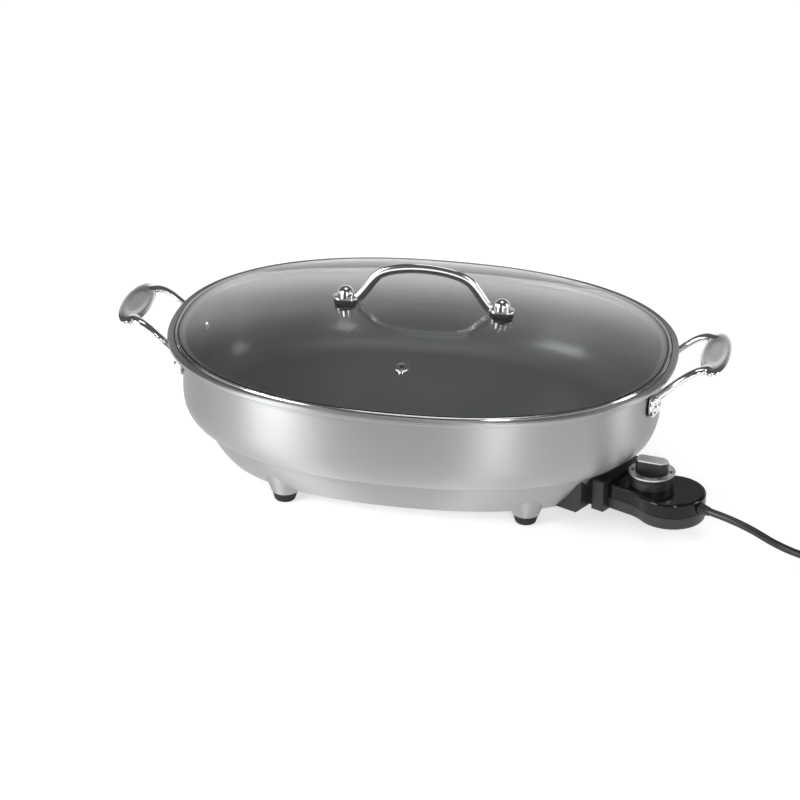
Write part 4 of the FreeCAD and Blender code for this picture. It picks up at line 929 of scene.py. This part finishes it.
@dataclass
class DialMarkings:
    """Temperature numbers and ticks printed on the silver dial ring."""

    centre: tuple = (0.19185, -0.05979)
    top: float = 0.0485
    tick_radius: float = 0.01735
    tick_length: float = 0.0013
    tick_width: float = 0.00042
    thickness: float = 0.00008
    tick_count: int = 41
    first_angle: float = 30.0
    sweep: float = 300.0
    number_radius: float = 0.0149
    number_height: float = 0.0034
    number_weight: float = 0.00012
    numbers: tuple = ("450", "400", "350", "300", "250", "200")
    front_angle: float = -90.0

    def tick_tree(self) -> bpy.types.NodeTree:
        """Geometry nodes that set a row of ticks round an arc.

        Returns:
            The tree, with its sizes as named inputs.
        """
        tree = bpy.data.node_groups.new("dial_ticks", "GeometryNodeTree")
        face = tree.interface
        face.new_socket("Geometry", in_out="OUTPUT", socket_type="NodeSocketGeometry")
        face.new_socket("Geometry", in_out="INPUT", socket_type="NodeSocketGeometry")
        face.new_socket("Count", in_out="INPUT", socket_type="NodeSocketInt")
        for name in ("Radius", "Length", "Width", "Thickness", "Height", "First Angle", "Step Angle", "East",
                     "North"):
            face.new_socket(name, in_out="INPUT", socket_type="NodeSocketFloat")
        face.new_socket("Material", in_out="INPUT", socket_type="NodeSocketMaterial")
        plan = NodePlan(tree)
        given = plan.node("NodeGroupInput")

        def size(name: str) -> Reading:
            """One of the tree's inputs."""
            return plan.read(given, name)

        index = plan.read(plan.node("GeometryNodeInputIndex"))
        angle = size("First Angle") + index * size("Step Angle")
        east = size("East") + size("Radius") * angle.joined("COSINE", angle, 0.0)
        north = size("North") + size("Radius") * angle.joined("SINE", angle, 0.0)
        spot = plan.node("ShaderNodeCombineXYZ", None, {0: east, 1: north, 2: size("Height")})
        points = plan.node("GeometryNodePoints", None, {"Count": size("Count"), "Position": spot.outputs[0]})
        box_size = plan.node("ShaderNodeCombineXYZ", None,
                             {0: size("Length"), 1: size("Width"), 2: size("Thickness")})
        box = plan.node("GeometryNodeMeshCube", None, {"Size": box_size.outputs[0]})
        turn = plan.node("ShaderNodeCombineXYZ", None, {0: 0.0, 1: 0.0, 2: angle})
        rotation = plan.node("FunctionNodeEulerToRotation", None, {0: turn.outputs[0]})
        placed = plan.node("GeometryNodeInstanceOnPoints", None,
                           {"Points": points.outputs[0], "Instance": box.outputs[0],
                            "Rotation": rotation.outputs[0]})
        solid = plan.node("GeometryNodeRealizeInstances", None, {0: placed.outputs[0]})
        painted = plan.node("GeometryNodeSetMaterial", None,
                            {0: solid.outputs[0], "Material": given.outputs["Material"]})
        plan.node("NodeGroupOutput", None, {0: painted.outputs[0]})
        return tree

    def ticks(self) -> bpy.types.Object:
        """The ticks as one plain mesh."""
        values = {"Count": self.tick_count, "Radius": self.tick_radius, "Length": self.tick_length,
                  "Width": self.tick_width, "Thickness": self.thickness,
                  "Height": self.top + self.thickness / 2,
                  "First Angle": math.radians(self.front_angle + self.first_angle),
                  "Step Angle": math.radians(self.sweep / (self.tick_count - 1)),
                  "East": self.centre[0], "North": self.centre[1],
                  "Material": FINISHES["dial_print"].material()}
        return grown("dial_ticks", self.tick_tree(), values, "dial_print")

    def number(self, words: str, angle: float) -> bpy.types.Mesh:
        """One number, standing outwards on the ring.

        Args:
            words: The number.
            angle: Where it stands, in degrees from +X.

        Returns:
            Its mesh, in place.
        """
        text = bpy.data.curves.new("number", "FONT")
        text.body = words
        text.size = self.number_height
        text.align_x = "CENTER"
        text.align_y = "CENTER"
        text.extrude = self.thickness / 2
        text.offset = self.number_weight
        text.resolution_u = 3
        holder = bpy.data.objects.new("number", text)
        bpy.context.scene.collection.objects.link(holder)
        bpy.context.view_layer.update()
        mesh = bpy.data.meshes.new_from_object(holder.evaluated_get(bpy.context.evaluated_depsgraph_get()))
        bpy.data.objects.remove(holder)
        bpy.data.curves.remove(text)
        turn = math.radians(angle)
        spot = Vector((self.centre[0] + self.number_radius * math.cos(turn),
                       self.centre[1] + self.number_radius * math.sin(turn), self.top + self.thickness / 2))
        mesh.transform(Matrix.Translation(spot) @ Matrix.Rotation(turn + math.pi / 2, 4, "Z"))
        return mesh

    def build(self) -> None:
        """Makes the ticks and numbers."""
        shell = bmesh.new()
        step = self.sweep / (len(self.numbers) - 1)
        for index, words in enumerate(self.numbers):
            mesh = self.number(words, self.front_angle + self.first_angle + index * step)
            shell.from_mesh(mesh)
            bpy.data.meshes.remove(mesh)
        joined = bpy.data.meshes.new("dial_numbers")
        shell.to_mesh(joined)
        shell.free()
        for piece in (mesh_object("dial_numbers", joined, "dial_print"), self.ticks()):
            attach(piece, "knob")


def grown(name: str, tree: bpy.types.NodeTree, values: dict, finish: str) -> bpy.types.Object:
    """Runs a geometry tree once and keeps its result as a plain mesh.

    Args:
        name: The piece's name.
        tree: The geometry nodes.
        values: A value for each of the tree's inputs, by name.
        finish: The name of the piece's finish.

    Returns:
        The piece.
    """
    seed = bpy.data.objects.new(name + "_seed", bpy.data.meshes.new(name + "_seed"))
    bpy.context.scene.collection.objects.link(seed)
    modifier = seed.modifiers.new("grow", "NODES")
    modifier.node_group = tree
    for item in tree.interface.items_tree:
        if item.item_type == "SOCKET" and item.in_out == "INPUT" and item.name in values:
            modifier[item.identifier] = values[item.name]
    bpy.context.view_layer.update()
    evaluated = seed.evaluated_get(bpy.context.evaluated_depsgraph_get())
    mesh = bpy.data.meshes.new_from_object(evaluated)
    seed.modifiers.remove(modifier)
    bpy.data.objects.remove(seed)
    mesh.name = name
    return mesh_object(name, mesh, finish)


# Studio


@dataclass
class Studio:
    """White surroundings, pale floor, soft lamps and the camera."""

    floor_size: float = 14.0
    floor_colour: float = 0.8
    floor_lift: float = 0.52
    room_light: float = 0.36
    horizon: float = 1.0
    dark_panel: float = 0.1
    ceiling: float = 0.1
    panel_count: int = 3
    panel_edges: tuple = (-0.75, 0.35)
    ceiling_edges: tuple = (0.08, 0.62)
    camera_turn: float = 9.7
    camera_rise: float = 25.2
    camera_roll: float = 1.05
    camera_distance: float = 2.7
    camera_aim: tuple = (0.0, 0.0, 0.1183)
    camera_shift: tuple = (-0.01812, -0.0506)
    focal_pixels: float = 3418.0
    frame_pixels: float = 800.0
    sensor_width: float = 36.0

    def world(self) -> None:
        """White to the camera, panels under a dark ceiling to gloss, and one soft level to the rest."""
        world = bpy.data.worlds.new("white_room")
        world.use_nodes = True
        bpy.context.scene.world = world
        plan = NodePlan(world.node_tree)
        east, north, up = plan.axes(plan.coordinates("Generated"))
        around = up.joined("ARCTAN2", north, east)
        panels = up.joined("SINE", around * self.panel_count + math.pi, 0.0).ramp(*self.panel_edges)
        walls = plan.blend(panels, (self.dark_panel,) * 3, (self.horizon,) * 3)
        seen = plan.blend(up.ramp(*self.ceiling_edges), walls, (self.ceiling,) * 3)
        rays = plan.node("ShaderNodeLightPath")
        gloss = plan.read(rays, "Is Glossy Ray").larger(plan.read(rays, "Is Transmission Ray"))
        room = plan.node("ShaderNodeBackground", None, {"Color": (1, 1, 1, 1), "Strength": self.room_light})
        shown = plan.node("ShaderNodeBackground", None, {"Color": seen, "Strength": 1.0})
        white = plan.node("ShaderNodeBackground", None, {"Color": (1, 1, 1, 1), "Strength": 1.0})
        first = plan.node("ShaderNodeMixShader", None, {0: gloss, 1: room.outputs[0], 2: shown.outputs[0]})
        second = plan.node("ShaderNodeMixShader", None,
                           {0: plan.read(rays, "Is Camera Ray"), 1: first.outputs[0], 2: white.outputs[0]})
        plan.node("ShaderNodeOutputWorld", None, {"Surface": second.outputs[0]})

    def floor(self) -> None:
        """A pale plain floor that keeps the skillet's shadow."""
        half = self.floor_size / 2
        mesh = bpy.data.meshes.new("studio_floor")
        corners = [(-half, -half, 0), (half, -half, 0), (half, half, 0), (-half, half, 0)]
        mesh.from_pydata(corners, [], [(0, 1, 2, 3)])
        material = bpy.data.materials.new("studio_floor")
        material.use_nodes = True
        plan = NodePlan(material.node_tree)
        matt = plan.node("ShaderNodeBsdfDiffuse", None, {"Color": (*(self.floor_colour,) * 3, 1)})
        rays = plan.node("ShaderNodeLightPath")
        seen = plan.read(rays, "Is Camera Ray").larger(plan.read(rays, "Is Glossy Ray"))
        seen = seen.larger(plan.read(rays, "Is Transmission Ray"))
        lift = plan.node("ShaderNodeEmission", None,
                         {"Color": (1, 1, 1, 1), "Strength": seen * self.floor_lift})
        both = plan.node("ShaderNodeAddShader", None, {0: matt.outputs[0], 1: lift.outputs[0]})
        plan.node("ShaderNodeOutputMaterial", None, {"Surface": both.outputs[0]})
        mesh.materials.append(material)
        floor = bpy.data.objects.new("studio_floor", mesh)
        bpy.context.scene.collection.objects.link(floor)

    def lamp(self, name: str, spot: Sequence[float], width: float, height: float, power: float) -> None:
        """One soft rectangular lamp aimed at the skillet.

        Args:
            name: The lamp's name.
            spot: Where it hangs.
            width: Its width.
            height: Its height.
            power: Its power in watts.
        """
        data = bpy.data.lights.new(name, "AREA")
        data.shape = "RECTANGLE"
        data.size = width
        data.size_y = height
        data.energy = power
        holder = bpy.data.objects.new(name, data)
        holder.location = spot
        holder.rotation_mode = "QUATERNION"
        holder.rotation_quaternion = (Vector((0, 0, 0.06)) - Vector(spot)).to_track_quat("-Z", "Y")
        bpy.context.scene.collection.objects.link(holder)

    def camera(self) -> None:
        """The photograph's viewpoint, from the oval rim and the feet."""
        turn, rise, roll = (math.radians(self.camera_turn), math.radians(self.camera_rise),
                            math.radians(self.camera_roll))
        back = Vector((math.sin(turn) * math.cos(rise), -math.cos(turn) * math.cos(rise), math.sin(rise)))
        right = Vector((math.cos(turn), math.sin(turn), 0))
        up = back.cross(right)
        right_rolled = right * math.cos(roll) + up * math.sin(roll)
        up_rolled = up * math.cos(roll) - right * math.sin(roll)
        across, upward = self.camera_shift
        spot = Vector(self.camera_aim) + right_rolled * across + up_rolled * upward
        spot = spot + back * self.camera_distance
        data = bpy.data.cameras.new("photo_camera")
        data.sensor_width = self.sensor_width
        data.lens = self.focal_pixels / self.frame_pixels * self.sensor_width
        data.clip_start = 0.05
        data.clip_end = 60.0
        holder = bpy.data.objects.new("photo_camera", data)
        columns = Matrix((right_rolled, up_rolled, back)).transposed().to_4x4()
        holder.matrix_world = Matrix.Translation(spot) @ columns
        bpy.context.scene.collection.objects.link(holder)
        bpy.context.scene.camera = holder

    def build(self) -> None:
        """Sets up the whole studio."""
        bpy.context.scene.view_settings.view_transform = "Standard"
        self.world()
        self.floor()
        self.lamp("key_left", (-1.6, -1.4, 0.95), 0.9, 1.1, 34.0)
        self.lamp("front_strip", (0.95, -2.2, 0.95), 0.25, 1.1, 17.0)
        self.lamp("fill_right", (2.2, 0.3, 0.9), 0.5, 1.1, 12.0)
        self.lamp("overhead", (0.0, 0.1, 2.6), 1.2, 1.0, 10.0)
        self.camera()


def main() -> None:
    """Dresses the skillet and sets the scene."""
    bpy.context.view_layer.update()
    Studio().build()
    log.info("studio ready")
    MainsCord().build()
    log.info("mains cord laid")
    log.info("%d solids dressed", CadFinishes().build())
    SideHandles().build()
    log.info("side handles cast")
    LidBar().build()
    LidBand().build()
    log.info("lid bar and band fitted")
    DialMarkings().build()
    log.info("dial marked")


if __name__ == "__main__":
    logging.basicConfig(level=logging.INFO, format="%(name)s: %(message)s")
    main()
